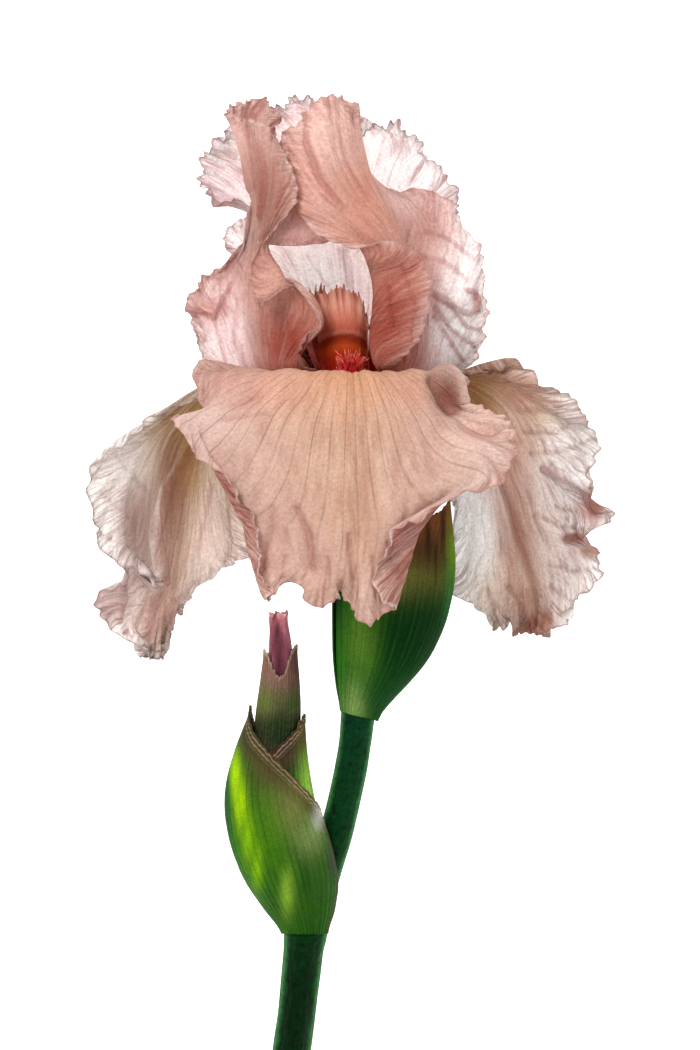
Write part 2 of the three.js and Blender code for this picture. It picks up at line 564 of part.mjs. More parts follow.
// A leaf wrapped round what it covers, from one heading to another. A dip lowers its top edge where it
// faces up.
function bractPoints(profile, { from, to, keel, foot, marginFoot, top, marginTop, dip = 0, cells }) {
  const widest = Math.max(Math.abs(from - keel), Math.abs(to - keel));
  return Array.from({ length: cells.along + 1 }, (_, i) =>
    Array.from({ length: cells.across + 1 }, (_, j) => {
      const heading = THREE.MathUtils.lerp(from, to, j / cells.across);
      const away = (Math.abs(heading - keel) / widest) ** marginSlope;
      const low = THREE.MathUtils.lerp(foot, marginFoot, away);
      const facing = Math.exp(-(((heading - 90) / dipWidth) ** 2));
      const high = THREE.MathUtils.lerp(top, marginTop, away) - dip * facing;
      const y = THREE.MathUtils.lerp(low, high, i / cells.along);
      const [, left, right, middle, depth] = sectionAt(profile, y);
      const angle = THREE.MathUtils.degToRad(heading);
      const x = (left + right) / 2 + ((right - left) / 2) * Math.cos(angle);
      return new THREE.Vector3(x, y, middle + depth * Math.sin(angle));
    }),
  );
}

const spatheProfile = [
  [-95, -3.2, 7.2, -12.6, 5.2],
  [-91, -3.2, 8.8, -11.8, 5.5],
  [-86, -3.8, 14, -11.2, 6.6],
  [-78, -4.8, 21, -10.2, 8],
  [-68, -5, 25.8, -9, 9],
  [-58, -5.2, 28, -7.5, 9],
  [-50, -6, 28.4, -6, 8],
  [-42, 4, 27.6, -5, 6.5],
  [-33, 24.5, 26.4, -4, 1],
];
const innerSpatheProfile = [
  [-88, -2.4, 6.6, -11.4, 4.6],
  [-80, -2.9, 6.7, -10.6, 4.8],
  [-72, -3.2, 6.5, -9.4, 5],
  [-60, -3.2, 6.2, -7.5, 4.7],
  [-50, -3, 6, -5.6, 4.6],
];
const budProfile = [
  [-153, -18.9, -5, -27, 6.9],
  [-150, -20.4, -4.6, -25.6, 7.4],
  [-145, -23.6, -3.8, -23.2, 8.4],
  [-138, -28.5, -2.6, -18, 9.4],
  [-128, -32, -4.5, -13.5, 10],
  [-118, -33.8, -8, -12.5, 9.8],
  [-110, -33.4, -9.5, -12.5, 9.2],
  [-100, -30.4, -10.8, -12, 7.9],
  [-94, -27.7, -11.2, -11.8, 7],
  [-89, -26, -11.6, -11.6, 6.3],
];
const shrunk = (profile, by) =>
  profile.map(([y, left, right, middle, depth]) => [y, left + by, right - by, middle, depth - by]);
const budTubeProfile = [
  [-124, -27, -13.6, -14, 6],
  [-108, -27, -14.2, -12.8, 5.6],
  [-92, -25.2, -13.6, -12, 4.9],
  [-86, -24.3, -13.8, -11.7, 4.6],
  [-80, -23.6, -14.2, -11.4, 4.4],
  [-73, -22.9, -14.7, -11.2, 4.2],
];

function addBract(name, profile, shape, colour) {
  addPiece(name, solidSheet(bractPoints(profile, shape), bractThickness), colour, 0.5);
}

addBract(
  "spathe_outer",
  spatheProfile,
  {
    from: -165,
    to: 155,
    keel: 0,
    foot: -94.5,
    marginFoot: -91.5,
    top: -33,
    marginTop: -52,
    cells: { across: 16, along: 12 },
  },
  colours.bract,
);
addBract(
  "spathe_inner",
  innerSpatheProfile,
  {
    from: 330,
    to: 30,
    keel: 180,
    foot: -85,
    marginFoot: -85,
    top: -55,
    marginTop: -66,
    cells: { across: 10, along: 6 },
  },
  colours.dryBract,
);
addBract(
  "bud_bract_outer",
  budProfile,
  {
    from: 262,
    to: 12,
    keel: 185,
    foot: -152.5,
    marginFoot: -152.5,
    top: -90.5,
    marginTop: -119,
    cells: { across: 16, along: 12 },
  },
  colours.bract,
);
addBract(
  "bud_bract_inner",
  shrunk(budProfile, 1.4),
  {
    from: -40,
    to: 120,
    keel: 8,
    foot: -124,
    marginFoot: -122,
    top: -92.5,
    marginTop: -108,
    cells: { across: 10, along: 8 },
  },
  colours.bract,
);
addBract(
  "bud_bract_top",
  budTubeProfile,
  {
    from: -110,
    to: 235,
    keel: 60,
    foot: -120,
    marginFoot: -120,
    top: -73.5,
    marginTop: -77,
    dip: 8.5,
    cells: { across: 16, along: 9 },
  },
  colours.dryBract,
);

const budStations = [
  [-19.3, -127.2, -15, 2.6],
  [-20, -118, -13.4, 4],
  [-20, -104, -12.5, 4],
  [-19.8, -92, -11.9, 3.2],
  [-19.1, -84, -11.6, 3.2],
  [-18.8, -75, -11.2, 3],
  [-19, -69, -10.9, 2.6],
  [-19.2, -64.5, -10.8, 2.5],
];
addPiece(
  "bud_petals",
  rod(budStations, { sides: 10, rings: 16, lobes: 3, lobeDepth: 0.12, twist: 5 }),
  colours.bud,
);

// Centred over the surface, which lies at height zero.
const extent = new THREE.Box3().setFromObject(iris);
const centre = extent.getCenter(new THREE.Vector3());
iris.position.set(-centre.x, -centre.y, -extent.min.z);

export default iris;
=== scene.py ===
import bpy
import bmesh
import json
import math
import random
from functools import partial
from mathutils import Vector, noise
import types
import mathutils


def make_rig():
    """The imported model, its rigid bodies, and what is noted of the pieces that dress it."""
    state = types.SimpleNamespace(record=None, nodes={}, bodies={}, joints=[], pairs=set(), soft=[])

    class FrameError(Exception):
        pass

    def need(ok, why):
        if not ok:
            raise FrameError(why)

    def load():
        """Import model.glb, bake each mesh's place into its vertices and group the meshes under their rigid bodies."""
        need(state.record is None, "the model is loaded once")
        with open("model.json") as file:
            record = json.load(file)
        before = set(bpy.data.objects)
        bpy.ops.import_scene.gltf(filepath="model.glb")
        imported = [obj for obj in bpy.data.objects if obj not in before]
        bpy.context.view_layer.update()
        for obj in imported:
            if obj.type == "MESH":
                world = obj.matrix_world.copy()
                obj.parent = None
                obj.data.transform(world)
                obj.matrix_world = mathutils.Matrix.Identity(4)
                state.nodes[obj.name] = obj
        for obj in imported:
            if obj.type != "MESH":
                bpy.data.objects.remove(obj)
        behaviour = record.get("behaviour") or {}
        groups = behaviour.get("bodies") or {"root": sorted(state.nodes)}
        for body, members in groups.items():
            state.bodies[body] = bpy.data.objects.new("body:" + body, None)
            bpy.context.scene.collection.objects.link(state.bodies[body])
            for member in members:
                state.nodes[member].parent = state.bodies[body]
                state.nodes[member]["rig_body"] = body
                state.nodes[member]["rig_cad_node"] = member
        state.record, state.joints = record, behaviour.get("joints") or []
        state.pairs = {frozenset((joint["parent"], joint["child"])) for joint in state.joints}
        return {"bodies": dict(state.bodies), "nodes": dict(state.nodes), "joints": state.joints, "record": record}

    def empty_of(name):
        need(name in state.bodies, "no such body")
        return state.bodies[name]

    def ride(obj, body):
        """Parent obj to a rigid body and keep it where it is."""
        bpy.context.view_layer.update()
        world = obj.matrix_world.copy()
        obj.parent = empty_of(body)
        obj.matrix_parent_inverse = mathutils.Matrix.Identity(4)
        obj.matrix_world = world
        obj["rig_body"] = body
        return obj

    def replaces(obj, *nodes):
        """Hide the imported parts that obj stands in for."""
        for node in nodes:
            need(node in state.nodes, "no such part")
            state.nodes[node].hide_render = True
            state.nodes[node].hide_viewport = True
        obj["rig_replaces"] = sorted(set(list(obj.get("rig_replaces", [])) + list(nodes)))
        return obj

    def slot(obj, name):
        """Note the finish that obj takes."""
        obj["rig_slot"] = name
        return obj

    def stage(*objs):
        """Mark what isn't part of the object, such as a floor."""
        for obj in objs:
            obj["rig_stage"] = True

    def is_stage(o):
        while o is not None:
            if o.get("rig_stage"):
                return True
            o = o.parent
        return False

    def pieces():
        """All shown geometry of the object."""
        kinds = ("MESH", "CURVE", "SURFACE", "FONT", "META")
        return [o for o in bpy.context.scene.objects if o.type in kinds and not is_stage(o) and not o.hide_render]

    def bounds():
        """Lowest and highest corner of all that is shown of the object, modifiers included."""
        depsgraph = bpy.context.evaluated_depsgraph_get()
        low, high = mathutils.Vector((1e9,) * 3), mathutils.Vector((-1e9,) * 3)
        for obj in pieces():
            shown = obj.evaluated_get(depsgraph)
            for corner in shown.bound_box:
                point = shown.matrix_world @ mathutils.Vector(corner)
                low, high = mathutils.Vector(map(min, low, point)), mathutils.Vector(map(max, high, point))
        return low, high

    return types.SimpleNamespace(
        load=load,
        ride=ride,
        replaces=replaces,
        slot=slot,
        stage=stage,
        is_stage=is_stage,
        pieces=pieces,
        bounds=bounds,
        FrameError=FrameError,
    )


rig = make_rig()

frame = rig.load()
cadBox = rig.bounds()

mm = 0.001
throat = Vector((0.250, 68.290, 44.0))  # where the flower's throat lies in the CAD frame, in mm
surfaceDepth = 44.0  # the surface lies this far below the throat, in mm
# every list of points below is in mm from the throat, as the CAD petals are drawn


# curves through given points

def splineSpans(points):
    # the centripetal curve that the CAD petals are lofted with, one cubic for each gap
    spans = []
    last = len(points) - 1
    for i in range(last):
        p1, p2 = points[i], points[i + 1]
        p0 = points[i - 1] if i else p1 * 2 - p2
        p3 = points[i + 2] if i + 2 <= last else p2 * 2 - p1
        d1 = (p2 - p1).length ** 0.5 or 1.0
        d0 = (p1 - p0).length ** 0.5 or d1
        d2 = (p3 - p2).length ** 0.5 or d1
        leave = ((p1 - p0) / d0 - (p2 - p0) / (d0 + d1) + (p2 - p1) / d1) * d1
        arrive = ((p2 - p1) / d1 - (p3 - p1) / (d1 + d2) + (p3 - p2) / d2) * d1
        spans.append((p1, leave, (p2 - p1) * 3 - leave * 2 - arrive, (p1 - p2) * 2 + leave + arrive))
    return spans


def onSpline(spans, t):
    place = min(max(t, 0.0), 1.0) * len(spans)
    i = min(int(place), len(spans) - 1)
    w = place - i
    a, b, c, d = spans[i]
    return a + (b + (c + d * w) * w) * w


def loft(rows, across, along):
    # rows run from root to tip, and each is its points from one margin to the other
    guides = [splineSpans([Vector(row[c]) for row in rows]) for c in range(len(rows[0]))]
    grid = []
    for i in range(along + 1):
        rib = splineSpans([onSpline(guide, i / along) for guide in guides])
        grid.append([onSpline(rib, j / across) for j in range(across + 1)])
    return grid


def gridNormals(grid):
    last, end = len(grid) - 1, len(grid[0]) - 1
    normals = []
    for i, row in enumerate(grid):
        below, above = grid[max(i - 1, 0)], grid[min(i + 1, last)]
        normals.append([
            (row[min(j + 1, end)] - row[max(j - 1, 0)]).cross(above[j] - below[j]).normalized()
            for j in range(end + 1)
        ])
    return normals


def smooth(low, high, value):
    t = min(max((value - low) / (high - low), 0.0), 1.0)
    return t * t * (3 - 2 * t)


def rough(x, y, seed):
    # smooth random values from -1 to 1
    return noise.noise(Vector((x, y, seed)))


def rootRow(heading, radius, halfWidth, low, lift, columns=7, turned=False):
    # a row across a petal's root, round the throat: heading 90 is towards +Z, 0 towards +X
    row = []
    for c in range(columns):
        s = 2 * c / (columns - 1) - 1
        angle = math.radians(heading) - s * halfWidth / radius
        row.append((radius * math.cos(angle), low + lift * s * s, radius * math.sin(angle)))
    return row[::-1] if turned else row


# materials

def hexColour(code):
    channels = [int(code[k:k + 2], 16) / 255 for k in (1, 3, 5)]
    linear = [c / 12.92 if c <= 0.04045 else ((c + 0.055) / 1.055) ** 2.4 for c in channels]
    return (*linear, 1.0)


def addNode(tree, kind, values=(), stops=(), **settings):
    # a node with its settings, a value or a link for each socket, and a ramp's stops; gives its outputs
    node = tree.nodes.new("ShaderNode" + kind)
    for name, setting in settings.items():
        setattr(node, name, setting)
    ramp = node.color_ramp.elements if stops else ()
    while len(ramp) < len(stops):
        ramp.new(0.5)
    for element, (place, code) in zip(ramp, stops):
        element.position = place
        element.color = hexColour(code)
    for socket, value in values.items() if isinstance(values, dict) else enumerate(values):
        if isinstance(value, bpy.types.NodeSocket):
            tree.links.new(value, node.inputs[socket])
        else:
            node.inputs[socket].default_value = value
    return node.outputs


def newMaterial(name):
    # an empty material, and the call that adds its nodes
    material = bpy.data.materials.new(name)
    material.use_nodes = True
    material.node_tree.nodes.clear()
    return material, partial(addNode, material.node_tree)


def thinLines(add, fan, sway, count, width):
    # so many lines to a unit of the fan, 1 along each and 0 beside it, that sway apart and together
    turns = add("Math", (fan, count, sway), operation="MULTIPLY_ADD")[0]
    turn = add("Math", (turns,), operation="FRACT")[0]
    middle = add("Math", (turn, 0.5), operation="SUBTRACT")[0]
    away = add("Math", (middle,), operation="ABSOLUTE")[0]
    return add("MapRange", (away, 0.5 - width, 0.5, 0.0, 1.0))[0]


# what a tissue has unless its own dictionary says otherwise; lengths in mm, shares from 0 to 1
plainTissue = {
    "cloudMm": 9, "wobble": 0.16,  # soft clouds, and how far they push the zones of colour about
    "alongShare": (1.0, 0.0), "rimShare": 0.85, "heartShare": 1.0, "bandsShare": 0.9, "patchOver": 0.2,
    "veinRun": 0.5, "veinWidth": 0.05, "veinFade": (0.0, 1.0), "fineShare": 0.5,
    "pleatLines": 0.6, "pleatReach": 12, "pleatShare": 0.0, "pleatForce": 0.0,  # pleats at the margins
    # how much painted shade the hollows get and how much painted highlight the ridges get
    "hollowShare": 0.5, "ridgeShare": 0.35, "grainMm": 0.5, "speck": 0.08, "bump": 0.5,
    "roughness": 0.6, "shine": 0.15, "glow": 0.0,
}
bumpMm = 0.3  # how high the fibres and cells stand
fineWidth = 0.1  # a fine vein's width as a share of the gap to the next


def tissueMaterial(name, look):
    # plant tissue with long fibres: petals let light through, bracts and stem shine a little
    look = {**plainTissue, **look}
    material, add = newMaterial(name)
    sides = add("SeparateXYZ", (add("UVMap", uv_map="sheet")[0],))
    edge = add("Attribute", attribute_name="marginMm")["Fac"]
    patch = add("Attribute", attribute_name="patch")
    place = add("TexCoord")["Object"]
    cloud = add("TexNoise", {"Vector": place, "Scale": 1 / (look["cloudMm"] * mm), "Detail": 3,
                             "Roughness": 0.55})[0]
    push = look["wobble"]
    wobble = add("Math", (cloud, push, -push / 2), operation="MULTIPLY_ADD")[0]
    across = add("Math", (sides[0], wobble))[0]
    along = add("Math", (sides[1], wobble))[0]
    colour = add("ValToRGB", (across,), look["across"])[0]
    layers = []  # (share, colour) over the first, in order
    if "along" in look:
        share = add("MapRange", (along, *look["alongFade"], *look["alongShare"]))[0]
        layers.append((share, add("ValToRGB", (along,), look["along"])[0]))
    if "rim" in look:
        inside = add("Math", (edge, look["rimMm"] / 2), operation="SUBTRACT")[0]
        ragged = add("Math", (cloud, look["rimMm"], inside), operation="MULTIPLY_ADD")[0]
        share = add("MapRange", (ragged, 0.0, look["rimMm"], look["rimShare"], 0.0))[0]
        layers.append((share, look["rim"]))
    if "heart" in look:
        near, far = look["heartMm"]
        away = add("VectorMath", (place, throat * mm), operation="DISTANCE")["Value"]
        share = add("MapRange", (away, near * mm, far * mm, look["heartShare"], 0.0))[0]
        layers.append((share, look["heart"]))
    layers.append((patch["Alpha"], patch["Color"]))

    # veins: thin lines that follow the fan out from the root, bold and fine
    fan = add("Attribute", attribute_name="veinFan")["Fac"]
    run = add("Math", (sides[1], look["veinRun"]), operation="MULTIPLY")[0]
    lane = add("CombineXYZ", (fan, run))[0]
    veins = look["veins"]
    sway = add("TexNoise", {"Vector": lane, "Scale": 2.5, "Detail": 1, "Roughness": 0.55})[0]
    fibre = add("TexNoise", {"Vector": lane, "Scale": veins * 3, "Detail": 2, "Roughness": 0.5})[0]
    breaks = add("TexNoise", {"Vector": lane, "Scale": veins, "Detail": 2, "Roughness": 0.55})[0]
    boldLines = thinLines(add, fan, sway, veins, look["veinWidth"])
    fineSway = add("Math", (sway, -2), operation="MULTIPLY")[0]
    fineLines = thinLines(add, fan, fineSway, veins * 2.7, fineWidth)
    lines = add("Math", (fineLines, look["fineShare"], boldLines), operation="MULTIPLY_ADD")[0]
    force = add("MapRange", (along, *look["veinFade"], *look["veinForce"]))[0]
    broken = add("MapRange", (breaks, 0.35, 0.62, 0.25, 1.0))[0]
    forced = add("Math", (lines, force), operation="MULTIPLY")[0]
    veined = add("Math", (forced, broken), operation="MULTIPLY", use_clamp=True)[0]

    # fine pleats and thin lines that run into the margins, over the petal's own folds
    rimPlace = add("Attribute", attribute_name="rimPlace")["Fac"]
    inward = add("Math", (edge, 0.12), operation="MULTIPLY")[0]
    pleatPlace = add("CombineXYZ", (rimPlace, inward))[0]
    drift = add("TexNoise", {"Vector": pleatPlace, "Scale": 0.3, "Detail": 2, "Roughness": 0.55})[0]
    drift = add("Math", (drift, 9), operation="MULTIPLY")[0]
    rimLines = thinLines(add, rimPlace, drift, look["pleatLines"], 0.17)
    reach = add("Math", (cloud, 10, look["pleatReach"]), operation="MULTIPLY_ADD")[0]
    depth = add("Math", (edge, reach), operation="DIVIDE")[0]
    fade = add("Math", (1.0, depth), operation="SUBTRACT", use_clamp=True)[0]
    fade = add("Math", (fade, look["pleatForce"]), operation="MULTIPLY")[0]
    rimmed = add("Math", (rimLines, fade), operation="MULTIPLY")[0]
    layers.append((add("Math", (veined, rimmed), operation="MAXIMUM")[0], look["vein"]))
    pleats = add("TexNoise", {"Vector": pleatPlace, "Scale": look["pleatLines"], "Detail": 2.5,
                              "Roughness": 0.6})[0]
    pleats = add("Math", (pleats, 0.5), operation="SUBTRACT")[0]
    near = add("MapRange", (edge, 0.0, look["pleatReach"], look["pleatShare"], 0.0))[0]
    pleated = add("Math", (pleats, near), operation="MULTIPLY")[0]
    ripple = add("Math", (fibre, 0.5), operation="SUBTRACT")[0]
    inner = add("MapRange", (edge, 0.0, look["pleatReach"], 0.3 * look["fibres"], look["fibres"]))[0]
    pleated = add("Math", (ripple, inner, pleated), operation="MULTIPLY_ADD")[0]

    # painted shade: darker and redder in the hollows of the folds, creases and pleats; a painted highlight, paler on
    # their ridges
    relief = add("Math", (add("Attribute", attribute_name="relief")["Fac"], pleated))[0]
    layers.append((add("MapRange", (relief, -1.0, 0.0, look["hollowShare"], 0.0))[0], look["hollow"]))
    layers.append((add("MapRange", (relief, 0.0, 1.0, 0.0, look["ridgeShare"]))[0], look["ridge"]))
    if "lip" in look:
        layers.append((add("MapRange", (edge, 0.15, 0.6, look["lipShare"], 0.0))[0], look["lip"]))
    if "bands" in look:
        # fibres that run along a dry margin
        width = look["bandsMm"]
        share = add("MapRange", (edge, width * 0.7, width, look["bandsShare"], 0.0))[0]
        depth = add("Math", (cloud, 0.8, edge), operation="MULTIPLY_ADD")[0]
        depth = add("Math", (depth, width), operation="DIVIDE")[0]
        layers.append((share, add("ValToRGB", (depth,), look["bands"])[0]))
    if "mottle" in look:
        scale = 1 / (look["mottleMm"] * mm)
        blotch = add("TexNoise", {"Vector": place, "Scale": scale, "Detail": 4, "Roughness": 0.7})[0]
        layers.append((add("MapRange", (blotch, 0.48, 0.68, 0.0, look["mottleShare"]))[0], look["mottle"]))
    # the patches once more, over the painted shade and highlights
    over = add("Math", (patch["Alpha"], look["patchOver"]), operation="MULTIPLY")[0]
    layers.append((over, patch["Color"]))
    for share, paint in layers:
        paint = hexColour(paint) if isinstance(paint, str) else paint
        colour = add("Mix", {0: share, 6: colour, 7: paint}, data_type="RGBA")[2]

    # cells, drawn at about 0.5 to 0.8 mm so that they show
    scale, speck = 1 / (look["grainMm"] * mm), look["speck"]
    grain = add("TexNoise", {"Vector": place, "Scale": scale, "Detail": 2, "Roughness": 0.55})[0]
    speckled = add("MapRange", (grain, 0.3, 0.7, 1 - speck, 1 + speck / 2))[0]
    colour = add("VectorMath", (colour, speckled), operation="MULTIPLY")[0]
    height = add("Math", (lines, 0.4, fibre), operation="MULTIPLY_ADD")[0]
    height = add("Math", (grain, 0.6, height), operation="MULTIPLY_ADD")[0]
    height = add("Math", (pleated, 1.5, height), operation="MULTIPLY_ADD")[0]
    height = add("Math", (height, rimmed), operation="SUBTRACT")[0]
    bump = add("Bump", {"Height": height, "Strength": look["bump"], "Distance": bumpMm * mm})[0]
    surface = add("BsdfPrincipled", {"Base Color": colour, "Normal": bump, "Roughness": look["roughness"],
                                     "Specular IOR Level": look["shine"]})[0]
    if look["glow"]:
        through = add("BsdfTranslucent", {"Color": colour, "Normal": bump})[0]
        surface = add("MixShader", (look["glow"], surface, through))[0]
    add("OutputMaterial", (surface,))
    return material


# meshes

def finishPiece(name, bm, materials, nodeName, slot):
    mesh = bpy.data.meshes.new(name)
    bm.to_mesh(mesh)
    bm.free()
    mesh.polygons.foreach_set("use_smooth", [True] * len(mesh.polygons))
    piece = bpy.data.objects.new(name, mesh)
    bpy.context.scene.collection.objects.link(piece)
    for material in materials:
        mesh.materials.append(material)
    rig.ride(piece, "root")
    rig.replaces(piece, nodeName)
    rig.slot(piece, slot)
    print(name, len(mesh.polygons), "faces")
    return piece


def thicken(piece, thickness, twoSided=False):
    wall = piece.modifiers.new("thickness", "SOLIDIFY")
    wall.thickness = thickness * mm
    wall.offset = 0
    wall.use_even_offset = False
    if twoSided:
        wall.material_offset = 1
        wall.material_offset_rim = 0


def patchColour(patches, point):
    # soft zones of colour, each (x, y, half width, half height, colour, strength) in mm from the throat
    total, alpha = Vector((0, 0, 0)), 0.0
    for x, y, wide, high, colour, strength in patches:
        away = ((point.x - x) / wide) ** 2 + ((point.y - y) / high) ** 2
        if away < 5:
            share = strength * math.exp(-away)
            total = total * (1 - share) + colour * share
            alpha = alpha * (1 - share) + share
    return (*(total / alpha), alpha) if alpha else (1, 1, 1, 0)


def layGrid(bm, across, along):
    # a flat grid of faces with its layers: gives each vertex with its row and column, and the layers
    layers = bm.verts.layers
    if not layers.float.keys():
        for name in ("veinFan", "marginMm", "rimPlace", "relief"):
            layers.float.new(name)
        layers.float_color.new("patch")
        bm.loops.layers.uv.new("sheet")
    uvMap = bm.loops.layers.uv["sheet"]
    made = bmesh.ops.create_grid(bm, x_segments=across, y_segments=along, size=0.5)["verts"]
    cells = []
    for vert in made:
        x, y = vert.co.x + 0.5, vert.co.y + 0.5
        for loop in vert.link_loops:
            loop[uvMap].uv = (x, y)
        cells.append((vert, round(y * along), round(x * across)))
    return cells, list(layers.float.values()), layers.float_color["patch"]


def addSheet(bm, grid, traits, patches=()):
    # faces laid over the points of the grid; their relief, which paints shade in the hollows and highlights on the
    # ridges, is calmer where a patch of colour covers it
    cells, layers, patchLayer = layGrid(bm, len(grid[0]) - 1, len(grid) - 1)
    zones = [(*zone[:4], Vector(hexColour(zone[4])[:3]), zone[5]) for zone in patches]
    for vert, i, j in cells:
        *values, relief, drawn = traits[i][j]
        zone = patchColour(zones, grid[i][j])
        relief = max(-1.0, min(1.0, relief * (1 - 0.6 * zone[3]) + drawn))
        for layer, value in zip(layers, (*values, relief)):
            vert[layer] = value
        vert[patchLayer] = zone
        vert.co = (grid[i][j] + throat) * mm


def creaseHeight(creases, point):
    # each crease is (half width, height, points along it), in mm; a height below 0 makes a valley
    total = 0.0
    for width, height, line in creases:
        reach = 3 * width
        xs, ys = zip(*line)
        if not (min(xs) - reach < point.x < max(xs) + reach and min(ys) - reach < point.y < max(ys) + reach):
            continue
        nearest = reach * reach
        for (ax, ay), (bx, by) in zip(line, line[1:]):
            dx, dy, px, py = bx - ax, by - ay, point.x - ax, point.y - ay
            share = min(max((px * dx + py * dy) / (dx * dx + dy * dy), 0.0), 1.0)
            nearest = min(nearest, (px - share * dx) ** 2 + (py - share * dy) ** 2)
        total += height * math.exp(-nearest / (width * width))
    return total


def pressed(z):
    # what would hang below the surface bends along it instead
    floor, bend = 0.4 - surfaceDepth, 0.6
    high = (z - floor) / bend
    lifted = high if high > 20 else math.log1p(math.exp(high))
    return floor + max(0.0, lifted * bend - 0.05)


# what a petal has unless its own dictionary says otherwise; heights and lengths in mm
plainPetal = {
    "wave": 1.0, "waves": 3.2, "waveFan": 1.5,  # broad ruffles, and how far they lean towards the margins
    "fold": 0.7, "folds": 3, "foldMm": 10,  # folds, and how far in from the margins they reach
    "frill": 0.5, "frills": 11, "frillMm": 5, "frillFan": 2.5,  # frills at the very margins
    "pleat": 0.22, "pleats": 14, "crease": 0.8, "crinkle": 0.3, "tear": 1.2, "tearMm": 2.4,
    "haftMm": 10, "haftWide": 7, "haftSpread": 0.75,  # the veins run side by side in the haft, then spread
    "sweep": 0.5,  # how far the veins curve outward on their way to the margins
    "faceBack": False,  # whether the rows give a face that looks down
}


def petalGrid(look):
    # the CAD petal's surface, then its finer pleats, frills and torn margins
    look = {**plainPetal, **look}
    across, along = look["cells"]
    grid = loft(look["rows"], across, along)
    normals = gridNormals(grid)
    for i, row in enumerate(grid):
        t = i / along
        for j, point in enumerate(row):
            s = 2 * j / across - 1
            grown = max(abs(s) ** 3 * min(1, 3 * t), t ** 6)
            fan = s * (1 + look["waveFan"] * (1 - t))
            point += normals[i][j] * (look["wave"] * grown * math.sin(math.pi * look["waves"] * fan))
            point.z = pressed(point.z)

    normals = gridNormals(grid)
    mid = across // 2
    steps = [(grid[i + 1][mid] - grid[i][mid]).length for i in range(along)]
    length = sum(steps)
    seed = look["seed"]
    outward = -1 if look["faceBack"] else 1
    left, right, tip = look["frillSides"]
    traits, moved = [], []
    for i, row in enumerate(grid):
        t = i / along
        alongMm = sum(steps[:i])
        tipMm = length - alongMm
        half = sum((row[j + 1] - row[j]).length for j in range(across)) / 2
        haft = look["haftWide"] + look["haftSpread"] * max(0.0, alongMm - look["haftMm"])
        opened = smooth(0, 0.25, t)
        traitRow, points = [], []
        for j, point in enumerate(row):
            s = 2 * j / across - 1
            sideMm = (1 - abs(s)) * half
            edgeMm = min(sideMm, tipMm)
            atTip = tipMm < sideMm
            bent = (1 - look["sweep"]) * s * (s * s + 0.03) ** -0.12
            bent += look["sweep"] * math.sin(math.pi * s / 2)
            fan = bent * (1 + look["frillFan"] * (1 - t))
            swirl = rough(s * 2.1, t * 2.7, seed)
            gust = 0.5 + 1.2 * abs(rough(fan * 3.0, t * 4.0, seed + 9))

            # how strong each fold is here, and where it is in its swing
            force = (tip if atTip else left if s < 0 else right) * smooth(0, 0.2, t)
            frilled = force * max(0.0, 1 - edgeMm / look["frillMm"]) ** 1.4
            folded = force * max(0.0, 1 - edgeMm / look["foldMm"]) ** 1.2
            pleated = max(0.0, 1 - edgeMm / look["pleatMm"]) ** 0.7
            frill = gust * math.sin(2 * math.pi * look["frills"] * fan + 5 * swirl)
            fold = math.sin(2 * math.pi * look["folds"] * fan + 4 * swirl + seed)
            pleat = math.sin(2 * math.pi * look["pleats"] * fan + 9 * swirl)
            pleat *= 0.5 + rough(fan * 5.0, t * 6.0, seed + 2)
            crease = rough(fan * 2.3, t * 1.6, seed + 3) * opened
            crinkle = rough(fan * 9.0, t * 11.0, seed + 4) * opened
            drawn = creaseHeight(look["creases"], point)
            lift = look["frill"] * frilled * frill + look["fold"] * folded * fold
            lift += look["crease"] * crease + look["crinkle"] * crinkle + look["pleat"] * pleated * pleat
            relief = 0.6 * frilled * frill + 0.45 * folded * fold + 0.9 * pleated * pleat
            relief += 0.5 * crease + 0.8 * crinkle

            # how far round the margin: the pleats run inward from it, leaning towards the root
            rimPlace = length + sideMm - 1.3 * tipMm if atTip else alongMm + 0.7 * sideMm
            tooth = rough(rimPlace * 0.28, 3 * s, seed + 5) + 0.7 * rough(rimPlace * 0.8, 9 * s, seed + 6)
            tooth *= look["tear"] * max(0.0, 1 - edgeMm / look["tearMm"])
            if atTip:
                tooth *= tip
                away = row[j] - grid[i - 1][j] if i else Vector((0, 0, 0))
            else:
                away = row[j] - row[j + 1 if s < 0 else j - 1]
            place = point + normals[i][j] * (lift + outward * drawn) + away.normalized() * tooth
            place.z = max(place.z, 0.2 - surfaceDepth)
            points.append(place)
            traitRow.append((bent * half / haft, edgeMm, rimPlace, relief * outward, drawn))
        moved.append(points)
        traits.append(traitRow)
    return moved, traits


def plainGrid(rows, across, along, crinkle, seed):
    grid = loft(rows, across, along)
    normals = gridNormals(grid)
    traits = []
    for i, row in enumerate(grid):
        t = i / along
        rise = [rough(9 * j / across, 3 * t, seed) for j in range(across + 1)]
        traits.append([(5 * j / across, (1 - t) * 12, j / 4, rise[j], 0) for j in range(across + 1)])
        grid[i] = [point + normals[i][j] * (crinkle * rise[j]) for j, point in enumerate(row)]
    return grid, traits


